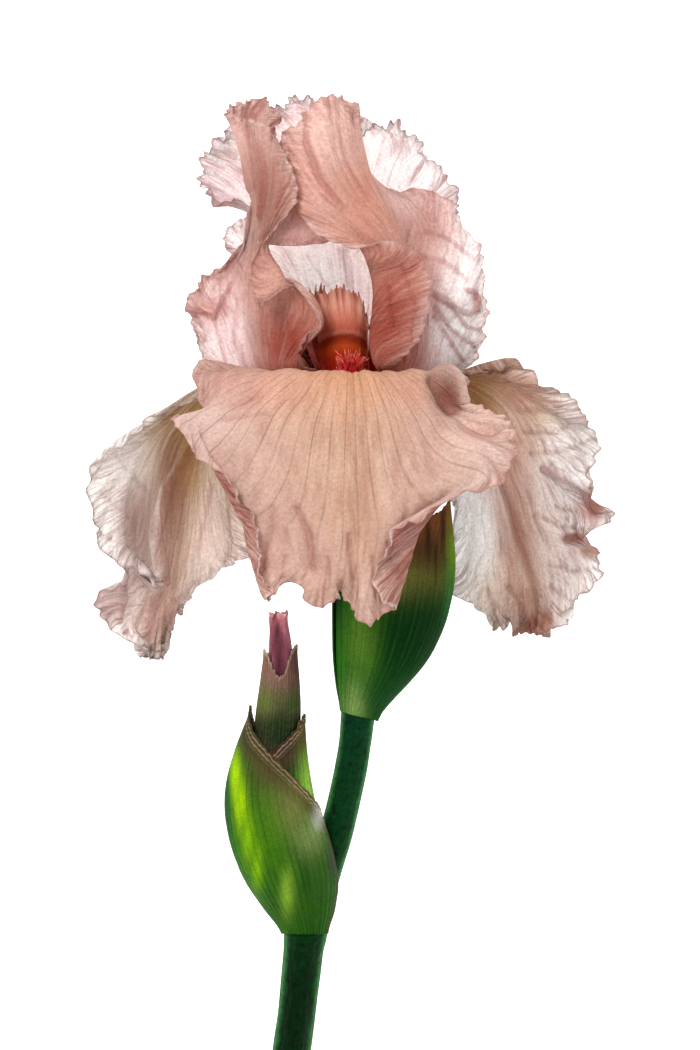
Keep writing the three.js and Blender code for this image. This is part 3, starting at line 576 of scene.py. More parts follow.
# the falls' and standards' rows of points, from root to tip
fallRoot = {"radius": 6.4, "halfWidth": 3.4, "low": -11, "lift": 0.4}
fallHaft = {"radius": 15.5, "halfWidth": 8, "low": -6.5, "lift": 1.5}
standardRoot = {"radius": 6.2, "halfWidth": 2, "low": -11, "lift": 0.3}
frontFallRows = [
    rootRow(90, **fallRoot, columns=9),
    rootRow(90, **fallHaft, columns=9),
    [(-24, -2.5, 15), (-18, -2.8, 19), (-12, -3, 23), (-6, -3.2, 26), (0, -3.2, 27), (6, -3.2, 26),
     (12, -3, 23), (18, -2.8, 19), (23, -2.5, 15)],
    [(-40.5, 0.5, 20), (-33, 0.2, 27), (-22, -0.2, 33), (-11, -0.4, 37), (0, -0.5, 38.5), (10, -0.4, 37),
     (18, -0.3, 34), (25, 0.2, 30), (30.5, -2.5, 25)],
    [(-39, -12, 31), (-34.5, -8, 36), (-24, -7, 42), (-12, -7.5, 45), (0, -8, 46), (11, -8, 44),
     (20, -8, 39.5), (26.5, -10, 31.5), (32, -10.5, 32)],
    [(-46.5, -11, 42), (-40, -15, 43), (-27, -16, 47), (-14, -16.5, 50), (0, -17, 50.5), (12, -17, 49),
     (23, -17, 46), (34, -17, 41), (41, -13, 39)],
    [(-41, -22, 51), (-36, -25, 48), (-24, -26, 51), (-12, -26.5, 52.5), (0, -27, 53), (11, -26.5, 52),
     (22, -25, 50), (34, -22, 47), (44, -19, 44)],
    [(-31, -33, 54), (-30.5, -34.5, 50), (-21, -35.5, 52.5), (-10, -36.5, 53), (0, -37, 53.5),
     (10, -36, 53.5), (20, -33, 52), (31, -29, 50), (40.5, -27.5, 51)],
    [(-25, -42, 54.5), (-28, -41.5, 50), (-19, -45, 51), (-9, -46, 52), (0, -46.5, 52.5), (8, -45.5, 53),
     (15, -42, 52), (22, -38, 50), (17, -39, 57)],
    [(-23.2, -51, 53), (-26, -52, 48), (-17.5, -53, 49.5), (-9, -54, 48), (-1, -55, 50.5), (4.5, -55, 50.5),
     (10, -52.5, 50), (15.5, -49.5, 48.5), (8.5, -50, 56)],
    [(-20, -58.5, 52), (-22.5, -61.5, 47.5), (-16, -57.5, 47), (-9, -63.5, 49.5), (-2.5, -59, 45.5),
     (1, -65.5, 48), (6, -67, 46.5), (11.5, -63.5, 46), (9, -62, 52)],
]
leftFallRows = [
    rootRow(210, **fallRoot, turned=True),
    rootRow(210, **fallHaft, turned=True),
    [(-31, -2, 1), (-28, -2.5, -4), (-25.5, -3, -9), (-22.5, -3.5, -13), (-19.5, -3.5, -18),
     (-17, -3.5, -23), (-14, -3.5, -28)],
    [(-44, -7, 6), (-40, -4.5, -2), (-36, -3.5, -10), (-31, -4, -18), (-27, -5, -25), (-23, -7, -32),
     (-19, -10, -39)],
    [(-56, -13.5, 8), (-49, -12, -3), (-44, -9.5, -13), (-38, -10, -22), (-34, -12, -29), (-30, -15, -36),
     (-26, -20, -44)],
    [(-66, -21, 8), (-57, -21, -4), (-50, -18, -16), (-42.5, -20, -25), (-38, -22, -31), (-34, -26, -38),
     (-29, -31, -47)],
    [(-69.7, -32, 6), (-60, -32, -6), (-52.5, -31, -20), (-45, -31, -27), (-40, -33, -33),
     (-34.5, -37, -40), (-28, -41, -49)],
    [(-67.3, -44, 4), (-59, -45, -6), (-52.3, -43, -22), (-46.7, -43, -29), (-41, -45, -35),
     (-35, -48, -41), (-27.5, -47.5, -48)],
    [(-58, -53, 3), (-56, -53, -8), (-51.2, -53, -23), (-48.5, -54, -31), (-43.5, -54, -36),
     (-38, -55, -40), (-33.5, -51.5, -45)],
    [(-50.5, -58.5, -3), (-53, -57, -13), (-52.5, -58, -26), (-49.5, -59, -32), (-46, -59, -36),
     (-42.5, -58, -39), (-40, -55.5, -42)],
    [(-62, -48.5, -9), (-58, -54, -17), (-54, -60, -26), (-50.5, -61.5, -32), (-47.5, -61.5, -36),
     (-44.8, -60.5, -38.5), (-42.5, -58, -41)],
    [(-63.5, -56, -9.5), (-59, -59.5, -18.5), (-54.3, -63, -28), (-50.8, -64, -32.7), (-48, -63.5, -36),
     (-46, -62, -38), (-44, -59.5, -40.5)],
    [(-69.5, -63, -13), (-61.5, -65, -21.5), (-55, -68, -29.5), (-51.5, -69, -33), (-49.5, -67.5, -35.7),
     (-48, -65.5, -37.7), (-46, -62.5, -39.5)],
    [(-63.5, -68.5, -19), (-59, -71.5, -25.5), (-55.3, -73, -30.5), (-52.3, -74, -33), (-50.7, -72, -35),
     (-49.5, -69.5, -37), (-47.5, -66.5, -38)],
    [(-57.5, -74, -25), (-56, -75.8, -28), (-54.5, -77.5, -31), (-53, -78, -32), (-52, -77, -33),
     (-51.3, -74, -34), (-49.5, -69.5, -35)],
]
rightFallRows = [
    rootRow(330, **fallRoot, turned=True),
    rootRow(330, **fallHaft, turned=True),
    [(14, -3.5, -28), (17, -3.5, -23), (19.5, -3.2, -18), (22.5, -3, -13), (25, -2.5, -9), (27.5, -2, -5),
     (31, -1.5, 0)],
    [(19, -10, -40), (23, -7, -34), (27, -5, -27), (31, -4.5, -20), (34, -2, -12), (37, 0.5, -4),
     (40, 0.5, 5)],
    [(24, -19, -44), (28.5, -16, -38), (33, -12.5, -32), (37, -11, -25), (42, -7, -15), (47, -5, -5),
     (53, -5, 6)],
    [(26, -29, -48), (31, -26, -40), (35.5, -23, -34), (40, -21, -28), (47, -17, -17), (55, -14, -6),
     (64.5, -12.5, 5)],
    [(27.3, -37, -49), (32, -34.5, -41.5), (36.8, -31.5, -35.5), (41.2, -29, -29.3), (48.3, -25, -18.3),
     (56.3, -22, -8), (67.5, -22.5, 4)],
    [(27.6, -43, -49), (32.7, -40.5, -42), (38, -37, -36.3), (43, -35, -30.7), (49.8, -31, -19.8),
     (57, -28.5, -10), (64.5, -32, -4)],
    [(28, -50, -49), (33.5, -48, -42), (39.5, -45, -37), (45, -43, -32), (51, -38.5, -21.5),
     (59, -35.5, -11), (69.8, -38, 1)],
    [(28, -55.5, -48), (34, -54.5, -42), (40.7, -51, -37.6), (46.5, -48, -32.7), (52.2, -44.5, -22.7),
     (58.7, -42, -13.5), (63, -45, -8)],
    [(28, -60, -47), (34.5, -60, -42), (41.7, -57, -38), (47.7, -53, -33.2), (53, -50, -24), (60, -48, -15),
     (68.3, -50.5, -4)],
    [(34, -64.5, -44), (38, -66, -41), (43, -64, -38), (49.3, -62, -34), (54, -58.5, -27), (59, -57, -19),
     (66, -59, -10)],
    [(40, -69.5, -41), (43.5, -69, -39), (47, -70.3, -37), (50.3, -70.5, -34), (52.5, -71, -30),
     (55, -69.5, -25), (59, -65.5, -18)],
]
leftStandardRows = [
    rootRow(150, **standardRoot),
    [(-13, -1, -5), (-13.5, -2, -1), (-13.5, -2.5, 3), (-12.5, -2.5, 7), (-11, -2, 9.5), (-9.5, -1.2, 11.5),
     (-8, -0.5, 13)],
    [(-39, 1.5, -13), (-32, 1, -8), (-25.5, 0.5, 0), (-22.5, 1, 9), (-19, 1, 14), (-15.5, 1, 17),
     (-13, 1.5, 19)],
    [(-41, 7, -12), (-34, 7, -10), (-27, 7, -3), (-25.5, 7, 8), (-19, 7, 14), (-13, 6.5, 18),
     (-12.5, 7, 22)],
    [(-43, 13, -11), (-35, 13, -11), (-28, 13, -3), (-27.3, 12.5, 8), (-18.5, 13, 13), (-8.5, 12, 18.5),
     (-7.6, 12.4, 23)],
    [(-43.7, 17, -10), (-35.5, 17, -12), (-28, 16.5, -3.5), (-27.8, 16, 8), (-18.5, 16.5, 12.5),
     (-9, 17, 17), (-11.5, 20, 21)],
    [(-44, 20.5, -9), (-36, 20.5, -12), (-28, 20, -4), (-28, 19.5, 8), (-19, 20, 12.5), (-13, 21, 17),
     (-17, 24, 21)],
    [(-41.5, 24, -9.5), (-34.5, 24, -12.5), (-27.7, 24, -4.5), (-28, 23.5, 8), (-20.5, 24, 13),
     (-17.5, 24.5, 19.5), (-24.3, 17, 26.5)],
    [(-36.5, 28, -10), (-32, 28, -12.5), (-27.3, 28, -4.5), (-28, 28, 8), (-22.5, 28, 12.5),
     (-19.5, 28, 18), (-26.8, 22.5, 23.5)],
    [(-30, 34, -10), (-28.5, 34, -10), (-26.5, 34, -3), (-27.5, 34, 7), (-25.5, 34, 11),
     (-22.5, 33.5, 14.5), (-24, 32.5, 19)],
    [(-27, 43, -12), (-26, 43, -9), (-26, 43, -1), (-26.5, 42, 7), (-24.5, 41, 14), (-21, 40, 19),
     (-17.5, 40, 23)],
    [(-24, 54, -10), (-26, 53, -7), (-28, 53, 0), (-28, 52, 9), (-24.5, 51, 17), (-19, 50, 23),
     (-14.3, 48, 25)],
    [(-20, 64, -6), (-25, 64, -5), (-29.5, 63, 2), (-31, 62, 8), (-27, 60, 15), (-21.5, 58, 19.5),
     (-16, 56, 20)],
    [(-19, 70, 0), (-24, 74, -3), (-29.5, 72.5, 1), (-33, 71.5, 6), (-30, 68.5, 12), (-25, 67, 15),
     (-19, 63, 16.5)],
]
tuckRows = [
    [(-20.5, 44, 15.5), (-15.5, 44, 14), (-10, 44, 13), (-4, 44, 12), (1, 44, 11)],
    [(-22.5, 40, 14.5), (-16.5, 40, 15), (-10.5, 40, 14.5), (-5, 40, 13), (0.5, 41, 11)],
    [(-24, 36.5, 13), (-18, 36, 14.5), (-12, 36, 14), (-6.5, 36.5, 12.5), (0, 38, 10.5)],
    [(-25, 34.5, 11.5), (-18.5, 33.8, 13), (-12.5, 34, 12.5), (-7, 34.6, 11), (-1, 36.5, 9)],
]
rightStandardRows = [
    rootRow(30, **standardRoot, turned=True),
    [(13, -1, -5), (13.5, -2, -1), (13.5, -2.5, 3), (12.5, -2.5, 7), (11, -2, 9.5), (9.5, -1.2, 11.5),
     (8, -0.5, 13)],
    [(31, 2, -13), (27, 1, -9), (20, 0.5, -2.5), (19.5, 1, 6), (14.5, 1, 12), (7.5, 0.8, 16),
     (12.5, 2, 22)],
    [(36, 8, -11), (30, 7.5, -9), (19.5, 7, -2.5), (21, 7, 6.5), (16, 7, 12), (5.5, 6.5, 15.5),
     (16, 4.8, 25)],
    [(36.5, 14, -10), (30, 14, -8.5), (19, 13, -2.5), (21.5, 13, 6.5), (16, 13, 11.5), (5.6, 12, 15),
     (20, 11, 26)],
    [(36.5, 22, -9), (30, 21, -8.5), (19, 20, -2.5), (21.5, 20, 6.5), (16, 20, 11.5), (6, 19, 15.3),
     (20.5, 17.5, 26)],
    [(36, 31, -11), (28.5, 29, -9), (16.5, 28, -2.5), (19.5, 27.5, 7), (13, 27.5, 13), (5, 27, 18),
     (20.5, 26.5, 25.5)],
    [(31.5, 40, -13), (23.5, 37, -9.5), (12.5, 36, -1.5), (14.2, 36, 8.5), (9.5, 33.5, 17), (4, 30, 23),
     (12.5, 34.5, 29)],
    [(23, 48, -15), (16.5, 44, -10), (9, 43.5, -1), (10, 43.5, 10), (5, 40.5, 18), (0, 37, 24),
     (-3, 34.3, 28)],
    [(10, 50, -14), (8, 51, -10), (5.5, 51, -1), (6.2, 50.5, 10), (-1, 48.5, 17.5), (-8, 45.5, 23),
     (-15, 43, 19.5)],
    [(0, 60, -8), (0, 61, -4), (2.3, 61, 3), (3, 60, 10.5), (-4, 60, 15.5), (-11, 58, 18.5), (-18, 55, 14)],
    [(-8, 73, -1), (-4, 74, 2), (-0.5, 73.5, 6), (1.5, 70, 11), (-4.5, 74, 15), (-11, 70, 15),
     (-18, 64, 12)],
]
backStandardRows = [
    rootRow(270, **standardRoot, turned=True),
    [(-14.5, 7, -9), (-11, 4.5, -12), (-5, 4, -14), (0, 4, -15), (5, 4, -14), (11, 4.5, -12),
     (14.5, 7, -9)],
    [(-22, 22, -17), (-16, 20, -22), (-8, 19, -26), (-1, 19, -27), (7, 19, -26), (14, 20, -22),
     (20, 22, -17)],
    [(-34, 37, -22), (-23, 34, -30), (-12, 33, -35), (-2, 33, -37), (8, 33, -35), (18, 34, -30),
     (26, 38, -22)],
    [(-28, 44, -31), (-24, 42, -36), (-13, 42, -40), (-2.5, 42, -46), (8, 42, -43), (18.5, 42, -34),
     (28, 44, -23)],
    [(-39, 49, -20), (-28, 50, -33), (-15, 50, -44), (-3, 50, -48), (8, 50, -44), (19, 51, -33),
     (28.5, 50, -22)],
    [(-39.5, 57, -18), (-29, 59, -30), (-17, 60, -37), (-4, 60, -40), (7, 60, -36), (17, 60, -29),
     (22.5, 59, -20)],
    [(-36, 63.5, -16), (-28, 67, -25), (-18, 69, -30), (-6, 70, -32), (4, 68, -30), (10, 66.5, -25),
     (14.5, 65, -18)],
    [(-33, 66, -12), (-27, 70, -17), (-18, 73.5, -20), (-10, 74, -21), (-2, 70, -21), (3, 67, -18),
     (7, 66, -13)],
]

petals = {
    "fall_front": {
        "rows": frontFallRows, "cells": (200, 220), "seed": 1, "sweep": 0.15, "wave": 1.2, "haftMm": 24,
        "frill": 0.6, "frillSides": (0.9, 1.4, 1.0), "fold": 0.9, "foldMm": 12, "folds": 3.5,
        "pleatMm": 9, "crease": 1.3, "faceBack": True,
        "creases": [
            (1.8, -1.8, [(22, -3), (27, -10)]), (1, 0.6, [(29.5, -2), (31, -8)]),
            (1.6, 0.7, [(28, -13), (40, -13)]), (1.6, -0.6, [(24, -15), (38, -17)]),
            (1, -1.1, [(-14, -37), (-10.8, -44.3), (-9.7, -53)]), (0.9, 0.7, [(-16, -42), (-12.5, -54)]),
            (0.9, -0.7, [(-20.2, -37), (-23.5, -52.7)]), (0.8, -0.9, [(-0.3, -44), (0.8, -56)]),
            (0.8, 0.6, [(3, -46), (3, -60)]), (0.7, -0.7, [(6, -50), (7, -60)]),
            (0.7, -0.5, [(-34, -10), (-24, -7)]), (0.7, -0.5, [(-34, -13), (-22, -12)]),
            (0.7, -0.5, [(24, -9), (33, -11)]), (0.6, -0.6, [(-17, -50), (-19, -60)]),
            (0.6, -0.5, [(-6, -50), (-5, -58)]), (0.6, -0.5, [(10, -46), (13, -56)]),
        ],
        "patches": [
            # (26, -7) and (27.5, -8.5) are painted shade: the dark pocket of the dent at the right shoulder
            (0, 0, 15, 11, "#DEA780", 0.75), (-33, -4, 9, 9, "#CF9A8A", 0.6),
            (26, -7, 4, 6, "#80382A", 0.85), (-20, -5, 8, 6, "#DCA088", 0.5),
            (16, -5, 6, 5, "#DCA088", 0.5), (-22, -50, 5, 9, "#E2BCAE", 0.6),
            (31, -4, 3, 8, "#DDBBAE", 0.6), (38, -19, 9, 8, "#DFC4BA", 0.7),
            (-12, -52, 14, 9, "#DCB4A8", 0.6), (27.5, -8.5, 2.6, 4.5, "#8A3A20", 0.8),
            (-18, -58, 5, 5, "#F2CEC2", 0.7), (7, -58, 5, 7, "#EAC6B8", 0.7),
            (34, -14, 9, 6, "#ECCDBF", 0.7), (-38, -14, 8, 6, "#E0C6BE", 0.7),
        ],
    },
    "fall_left": {
        "rows": leftFallRows, "cells": (200, 230), "seed": 2, "sweep": 0.75, "wave": 1.5, "haftMm": 22,
        "frill": 0.8, "frillMm": 8, "frillSides": (1, 0.5, 1.1), "fold": 1.2, "foldMm": 16, "folds": 3.6,
        "pleats": 15, "pleatMm": 26, "crease": 1.0, "tear": 1.4,
        "creases": [
            (0.8, -1.3, [(-42.4, -19), (-49.7, -31.6), (-52.4, -44.3), (-50.2, -57)]),
            (0.8, 0.8, [(-44, -19), (-51.3, -31.6), (-54, -44.3), (-52, -57)]),
            (0.8, -0.6, [(-42.4, -22), (-46.2, -33.8), (-47.5, -44.3)]),
            (0.7, -1, [(-61.3, -57), (-62.4, -67.5)]),
            (0.8, -0.8, [(-51.3, -59), (-55, -69.7), (-54, -77)]), (0.9, 0.7, [(-57, -60), (-59, -70)]),
            (0.7, -0.6, [(-48, -62), (-51, -72)]), (0.6, -0.5, [(-64, -22), (-56, -32)]),
            (0.6, -0.5, [(-68, -32), (-60, -40)]), (0.6, -0.5, [(-70, -42), (-62, -47)]),
            (0.7, -0.6, [(-38, -30), (-42, -48)]),
        ],
        "patches": [
            (-62, -24, 8, 18, "#FAF8F7", 0.8), (-48, -32, 4, 18, "#A87A62", 0.8),
            (-44, -24, 3, 14, "#BE9862", 0.7), (-34, -38, 8, 10, "#EAD8CE", 0.8),
            (-52, -66, 7, 8, "#E2C2B8", 0.7), (-66, -62, 6, 7, "#CDB0AC", 0.7),
            (-57, -42, 6, 12, "#B89A90", 0.8), (-36, -46, 8, 8, "#F8E8E0", 0.7),
            (-11, 3, 7, 6, "#7E1606", 1.0),
        ],
    },
    "fall_right": {
        "rows": rightFallRows, "cells": (200, 230), "seed": 3, "sweep": 0.75, "wave": 1.5, "haftMm": 22,
        "frill": 0.9, "frillMm": 8, "frillSides": (0.5, 1.1, 1.1), "fold": 1.5, "foldMm": 17,
        "folds": 3.8, "pleats": 15, "pleatMm": 24, "crease": 1.1, "tear": 1.6,
        "creases": [
            (1.1, -1.2, [(41.5, -28.6), (45, -38.9), (47.7, -49.4), (50.7, -58.3), (52, -66)]),
            (0.9, 0.7, [(38.5, -28.6), (42, -38.9), (44.7, -49.4), (47.7, -58.3)]),
            (0.9, -0.8, [(31.6, -8.6), (35.6, -13.5)]),
            (0.9, -1.5, [(53, -26), (58, -29.5), (63.5, -33.5), (68.3, -35.6)]),
            (1, 0.9, [(57, -25), (64, -30), (69, -32)]),
            (0.8, -1.4, [(59.1, -45.1), (63.5, -43.5), (68.3, -44.6)]),
            (0.9, 0.8, [(58, -48), (66, -47)]), (0.7, -0.7, [(51, -38.9), (57.8, -41.9), (65.3, -41.9)]),
            (0.7, -0.9, [(37.8, -59), (40.5, -68.6)]),
            (0.7, -1, [(44, -58.3), (46.7, -63.2), (47.5, -70.2)]),
            (0.6, -0.6, [(46, -10), (54, -10), (60, -7)]), (0.6, -0.6, [(47, -16), (56, -16), (63, -12)]),
            (0.6, -0.6, [(49, -22), (58, -21), (66, -18)]),
            (0.6, -0.7, [(55, -52), (61, -54), (66, -53)]),
            (0.6, -0.7, [(55, -58), (60, -62), (64, -63)]), (0.6, -0.6, [(56, -36), (62, -38)]),
        ],
        "patches": [
            (33, -4, 5, 8, "#AC7B36", 0.9), (36, -16, 3, 12, "#B08A4C", 0.6),
            # the two white zones at (33, -42) are painted light over the cream, where the front fall casts its shadow
            (33, -42, 7, 18, "#FFFFFF", 1.0), (33, -42, 5, 14, "#FFFFFF", 1.0),
            (43, -20, 6, 14, "#CFA595", 0.7), (62, -20, 8, 14, "#E6E2E0", 0.7),
            (46, -48, 4, 14, "#C9A08E", 0.7), (38, 1, 9, 4, "#B5876C", 0.9),
            (48, -5, 7, 5, "#CBA291", 0.8), (61, -45, 3, 1.5, "#B5634A", 0.8),
            (57, -58, 8, 9, "#F4ECE8", 0.7), (40, -62, 6, 8, "#F6EAE0", 0.8),
            (48, -60, 5, 8, "#E8CCBC", 0.8), (53, -68, 2.5, 4, "#D0906A", 0.7),
            (66, -36, 3, 4, "#B5634A", 0.8), (12, 3, 7, 6, "#7E1606", 1.0),
            (36, 4, 12, 3, "#B98E76", 0.8), (66, -48, 4, 2, "#C07A5A", 0.7),
            (49, -70, 4, 3, "#C88260", 0.7),
        ],
    },
    "standard_left": {
        "rows": leftStandardRows, "cells": (210, 225), "seed": 4, "frillSides": (1.3, 0.6, 1.4),
        "pleatMm": 16, "faceBack": True,
        "creases": [
            (0.6, -1.2, [(-46.4, 19.2), (-43.7, 18), (-37, 14.8), (-35.2, 17.6), (-31.8, 24)]),
            (0.6, -1, [(-45, 19.5), (-42, 16), (-39.5, 9)]),
            (0.6, -0.9, [(-37, 14.6), (-34.3, 6.2), (-33.5, 1.9)]), (0.6, 0.9, [(-44, 21), (-38, 17)]),
            (0.6, -0.8, [(-42.8, 16), (-41.8, 9.7), (-41, 2.7)]),
            (0.6, -0.7, [(-30, 20), (-31, 9), (-28, 2)]),
            (0.9, 0.6, [(-26.5, 48), (-25.1, 38.3), (-27.5, 27.5)]),
            (0.7, 0.5, [(-17.8, 20.5), (-17.5, 9.7), (-18.6, 1)]),
            (0.7, -0.9, [(-24, 60), (-23, 52), (-24, 42)]), (0.6, -0.7, [(-28, 66), (-26, 56)]),
            (0.6, -0.6, [(-20, 56), (-21, 46), (-24, 36)]), (0.6, -0.6, [(-18, 50), (-20, 42)]),
            (0.6, -0.7, [(-24, 18), (-23, 8)]), (0.6, -0.6, [(-36, 26), (-33, 16)]),
        ],
        "patches": [
            (-37, 11, 7, 16, "#FFF6F6", 0.95), (-30, 10, 5, 12, "#FFF0F0", 0.85),
            (-37, 17, 5, 4, "#D89A92", 0.6), (-33, 30, 4, 6, "#C4908A", 0.6),
            (-29, 66, 6, 9, "#E8C6BE", 0.8), (-24, 46, 6, 14, "#A06A5C", 0.85),
            (-26, 24, 3, 20, "#BE8474", 0.5), (-22, 22, 4.5, 6, "#E8BCAE", 0.8),
            (-17, 8, 7, 9, "#9E2E16", 0.85), (-27, 36, 3, 5, "#B09894", 0.5),
        ],
    },
    "standard_right": {
        "rows": rightStandardRows, "cells": (210, 220), "seed": 5, "frillSides": (1.3, 0.6, 1.3),
        "pleatMm": 18,
        "creases": [
            (0.8, -1, [(-11.6, 70), (-11.6, 60.5), (-8.1, 50.8), (-2.2, 43.7)]),
            (0.7, -0.6, [(-7.3, 46.4), (1.3, 38.3), (7.6, 33.8)]),
            (0.6, -0.7, [(-4, 66), (-2, 56), (4, 46)]), (0.6, -0.6, [(4, 70), (6, 58)]),
            (0.7, -1.5, [(21.8, 21.4), (26.2, 18.7), (29.8, 16.5), (32, 16), (34.7, 17.8)]),
            (0.6, -1.3, [(32, 22.2), (33.8, 21.8), (35, 19), (34.7, 16.9)]),
            (0.7, 0.9, [(24, 22.5), (30, 18.5)]), (0.6, -1.1, [(21.8, 18.7), (27.1, 11.6), (34.3, 7.1)]),
            (0.6, -1, [(22.7, 15.1), (28, 7.1), (30.7, 3.5)]),
            (0.6, -1, [(25.4, 20.5), (31.6, 12.4), (35.6, 11.6)]), (0.7, 0.8, [(24, 13.5), (30, 8)]),
            (0.6, -0.7, [(20, 38), (27, 36), (33, 31)]), (0.6, -0.7, [(18, 32), (25, 30), (32, 25)]),
            (0.6, -0.6, [(14, 27), (17, 18), (16, 8)]), (0.6, -0.6, [(10, 22), (11, 12)]),
        ],
        "patches": [
            # (33, 24) and (28, 10): the lobe's own pale colour raised to pure white, painted light against the shade
            # of the curl beside it
            (33, 24, 8, 24, "#FFFFFF", 0.95), (28, 10, 8, 14, "#FFFFFF", 0.95),
            (21, 40, 6, 8, "#C9958C", 0.7), (-6, 66, 10, 9, "#F8DAD0", 0.85),
            (-13, 48, 4, 11, "#F0C0B0", 0.8), (4, 40, 5, 5, "#E8B09C", 0.5),
            (3, 46, 6, 9, "#D99A82", 0.6), (11, 14, 8, 14, "#A83E26", 0.85),
            (18, 24, 4, 8, "#C07A66", 0.6), (0, 61, 4, 6, "#DDB6AA", 0.6),
            (34, 20, 1.2, 3, "#B5706A", 0.7),
        ],
    },
    "standard_back": {
        "rows": backStandardRows, "cells": (200, 200), "seed": 6, "wave": 1.2, "frill": 0.8, "frillMm": 8,
        "frills": 12, "frillSides": (1, 1, 1), "fold": 1.1, "foldMm": 14, "folds": 4, "pleats": 16,
        "pleatMm": 24, "tear": 1.1,
        "creases": [
            (0.8, -0.7, [(-2.2, 34), (-1, 24)]), (0.6, -0.5, [(-12, 32), (-6, 24)]),
            (0.7, -0.8, [(16, 52), (22, 60)]), (0.7, -0.8, [(20, 48), (28, 56)]),
            (0.7, -0.7, [(22, 44), (34, 50)]), (0.7, -0.9, [(-44, 52), (-34, 46)]),
            (0.7, -0.8, [(-42, 44), (-33, 43)]), (0.7, 0.7, [(-44, 57), (-34, 52)]),
        ],
        "patches": [
            # (-8, 27): the pale inside raised to pure white, painted light where shade near the throat falls
            (-8, 27, 10, 9, "#FFFFFF", 0.95), (-40, 50, 9, 8, "#FBF0F1", 0.8),
            (-33, 43, 4, 4, "#E0B4B2", 0.5), (18, 56, 12, 10, "#FFFFFF", 0.9),
            (-11, 4, 7, 7, "#8E1C06", 1.0), (11, 4, 6, 6, "#8E1C06", 1.0),
        ],
    },
}

# every petal: a soft matte skin, with cells drawn at 0.8 mm so that they show
petalSkin = {"bump": 0.8, "grainMm": 0.8, "speck": 0.16}
# the front fall: light peach with ochre veins from the throat; its underside is mauve-pink and creased
peachTissue = {
    **petalSkin,
    "across": [(0.0, "#DCC4BA"), (0.25, "#D3B3A3"), (0.5, "#CFAA8F"), (0.75, "#D3B3A3"), (1.0, "#DCC4BA")],
    "rim": "#DDB2A6", "rimMm": 3, "rimShare": 0.7, "heart": "#C9874F", "heartMm": (8, 36),
    "vein": "#8A5626", "veins": 7, "veinWidth": 0.08, "veinForce": (0.9, 0.3), "veinFade": (0.15, 0.75),
    "fineShare": 0.4, "hollow": "#B06E5E", "hollowShare": 0.45, "ridge": "#F0D8CA", "ridgeShare": 0.4,
    "glow": 0.4, "pleatReach": 8, "pleatShare": 2.5, "pleatLines": 0.9, "pleatForce": 0.35, "fibres": 0.9,
    "lip": "#B98478", "lipShare": 0.4, "mottle": "#C49584", "mottleMm": 2.2, "mottleShare": 0.3,
}
undersideTissue = {
    **peachTissue, "across": [(0.0, "#BF8274"), (0.5, "#C99888"), (1.0, "#BF8274")],
    "rim": "#B8796C", "rimMm": 4, "vein": "#8E5048", "veinForce": (0.5, 0.4), "hollow": "#8E4C42",
    "hollowShare": 0.75, "pleatShare": 7, "pleatReach": 20, "pleatForce": 0.7, "lip": "#F0DCD4",
    "lipShare": 0.7,
}
# the falls behind: cream with a brown-pink fold and olive haft, near white at the frilled margin
creamTissue = {
    **petalSkin,
    "across": [(0.0, "#FDFBFA"), (0.28, "#E4D6CE"), (0.42, "#CBB0A2"), (0.55, "#D8C2B0"), (0.75, "#F3E8E1"),
               (1.0, "#FCF8F6")],
    "along": [(0.0, "#9A7A35"), (0.3, "#BFA05A"), (1.0, "#DCC79C")], "alongFade": (0.22, 0.5),
    "rim": "#FFFDFC", "rimMm": 7, "rimShare": 0.7, "vein": "#96685A", "veins": 8,
    "veinForce": (0.45, 0.3), "fineShare": 0.6, "hollow": "#A06E60", "patchOver": 0.35,
    "ridge": "#FFFDFB", "ridgeShare": 0.5, "glow": 0.5, "pleatReach": 16, "pleatShare": 4, "pleatLines": 0.8,
    "pleatForce": 0.75, "fibres": 2.0, "lip": "#B08E84", "lipShare": 0.6,
}
creamTissueRight = {**creamTissue, "across": [
    (0.0, "#FFFDFB"), (0.25, "#FFF8F2"), (0.45, "#E6CDC3"), (0.65, "#EADCD6"), (1.0, "#FBF8F7"),
]}
# the standards: salmon towers, pale lobes behind, coral deep in the throat
salmonTissue = {
    **petalSkin,
    "across": [(0.0, "#FFF8F6"), (0.2, "#FBEAE6"), (0.36, "#D0A094"), (0.55, "#D49E8B"), (0.8, "#D8A592"),
               (1.0, "#E8BBAC")],
    "along": [(0.0, "#C4705A"), (0.5, "#D59C88"), (0.85, "#DEB6AA"), (1.0, "#E9CDC4")],
    "alongFade": (0.0, 1.0), "alongShare": (0.3, 0.55),
    "rim": "#F6E2DA", "rimMm": 2.5, "rimShare": 0.7, "heart": "#BE2A12", "heartMm": (9, 27),
    "heartShare": 0.95, "vein": "#8E4A3A", "veins": 8, "veinForce": (0.35, 0.35), "fineShare": 0.6,
    "hollow": "#B05E50", "hollowShare": 0.55, "ridge": "#F3D2C4", "ridgeShare": 0.4, "glow": 0.45,
    "pleatReach": 8, "pleatShare": 3, "pleatLines": 0.8, "pleatForce": 0.4, "fibres": 1.3,
    "lip": "#B98A80", "lipShare": 0.5, "mottle": "#BE8272", "mottleMm": 2.2, "mottleShare": 0.3,
}
paleTissue = {
    **salmonTissue, "across": [(0.0, "#FFFBFA"), (0.5, "#FFF2F0"), (1.0, "#FFFCFB")],
    "alongShare": (0.0, 0.0), "rim": "#FFFFFF", "rimMm": 10, "heartMm": (9, 24), "vein": "#B87C76",
    "veinForce": (0.2, 0.5), "hollow": "#B07C78", "ridge": "#FFFFFF", "ridgeShare": 0.6, "glow": 0.65,
    "pleatReach": 20, "pleatShare": 4, "pleatLines": 0.7, "pleatForce": 0.7, "fibres": 1.8,
    "lip": "#B59A96", "lipShare": 0.6, "mottleShare": 0.0,
}
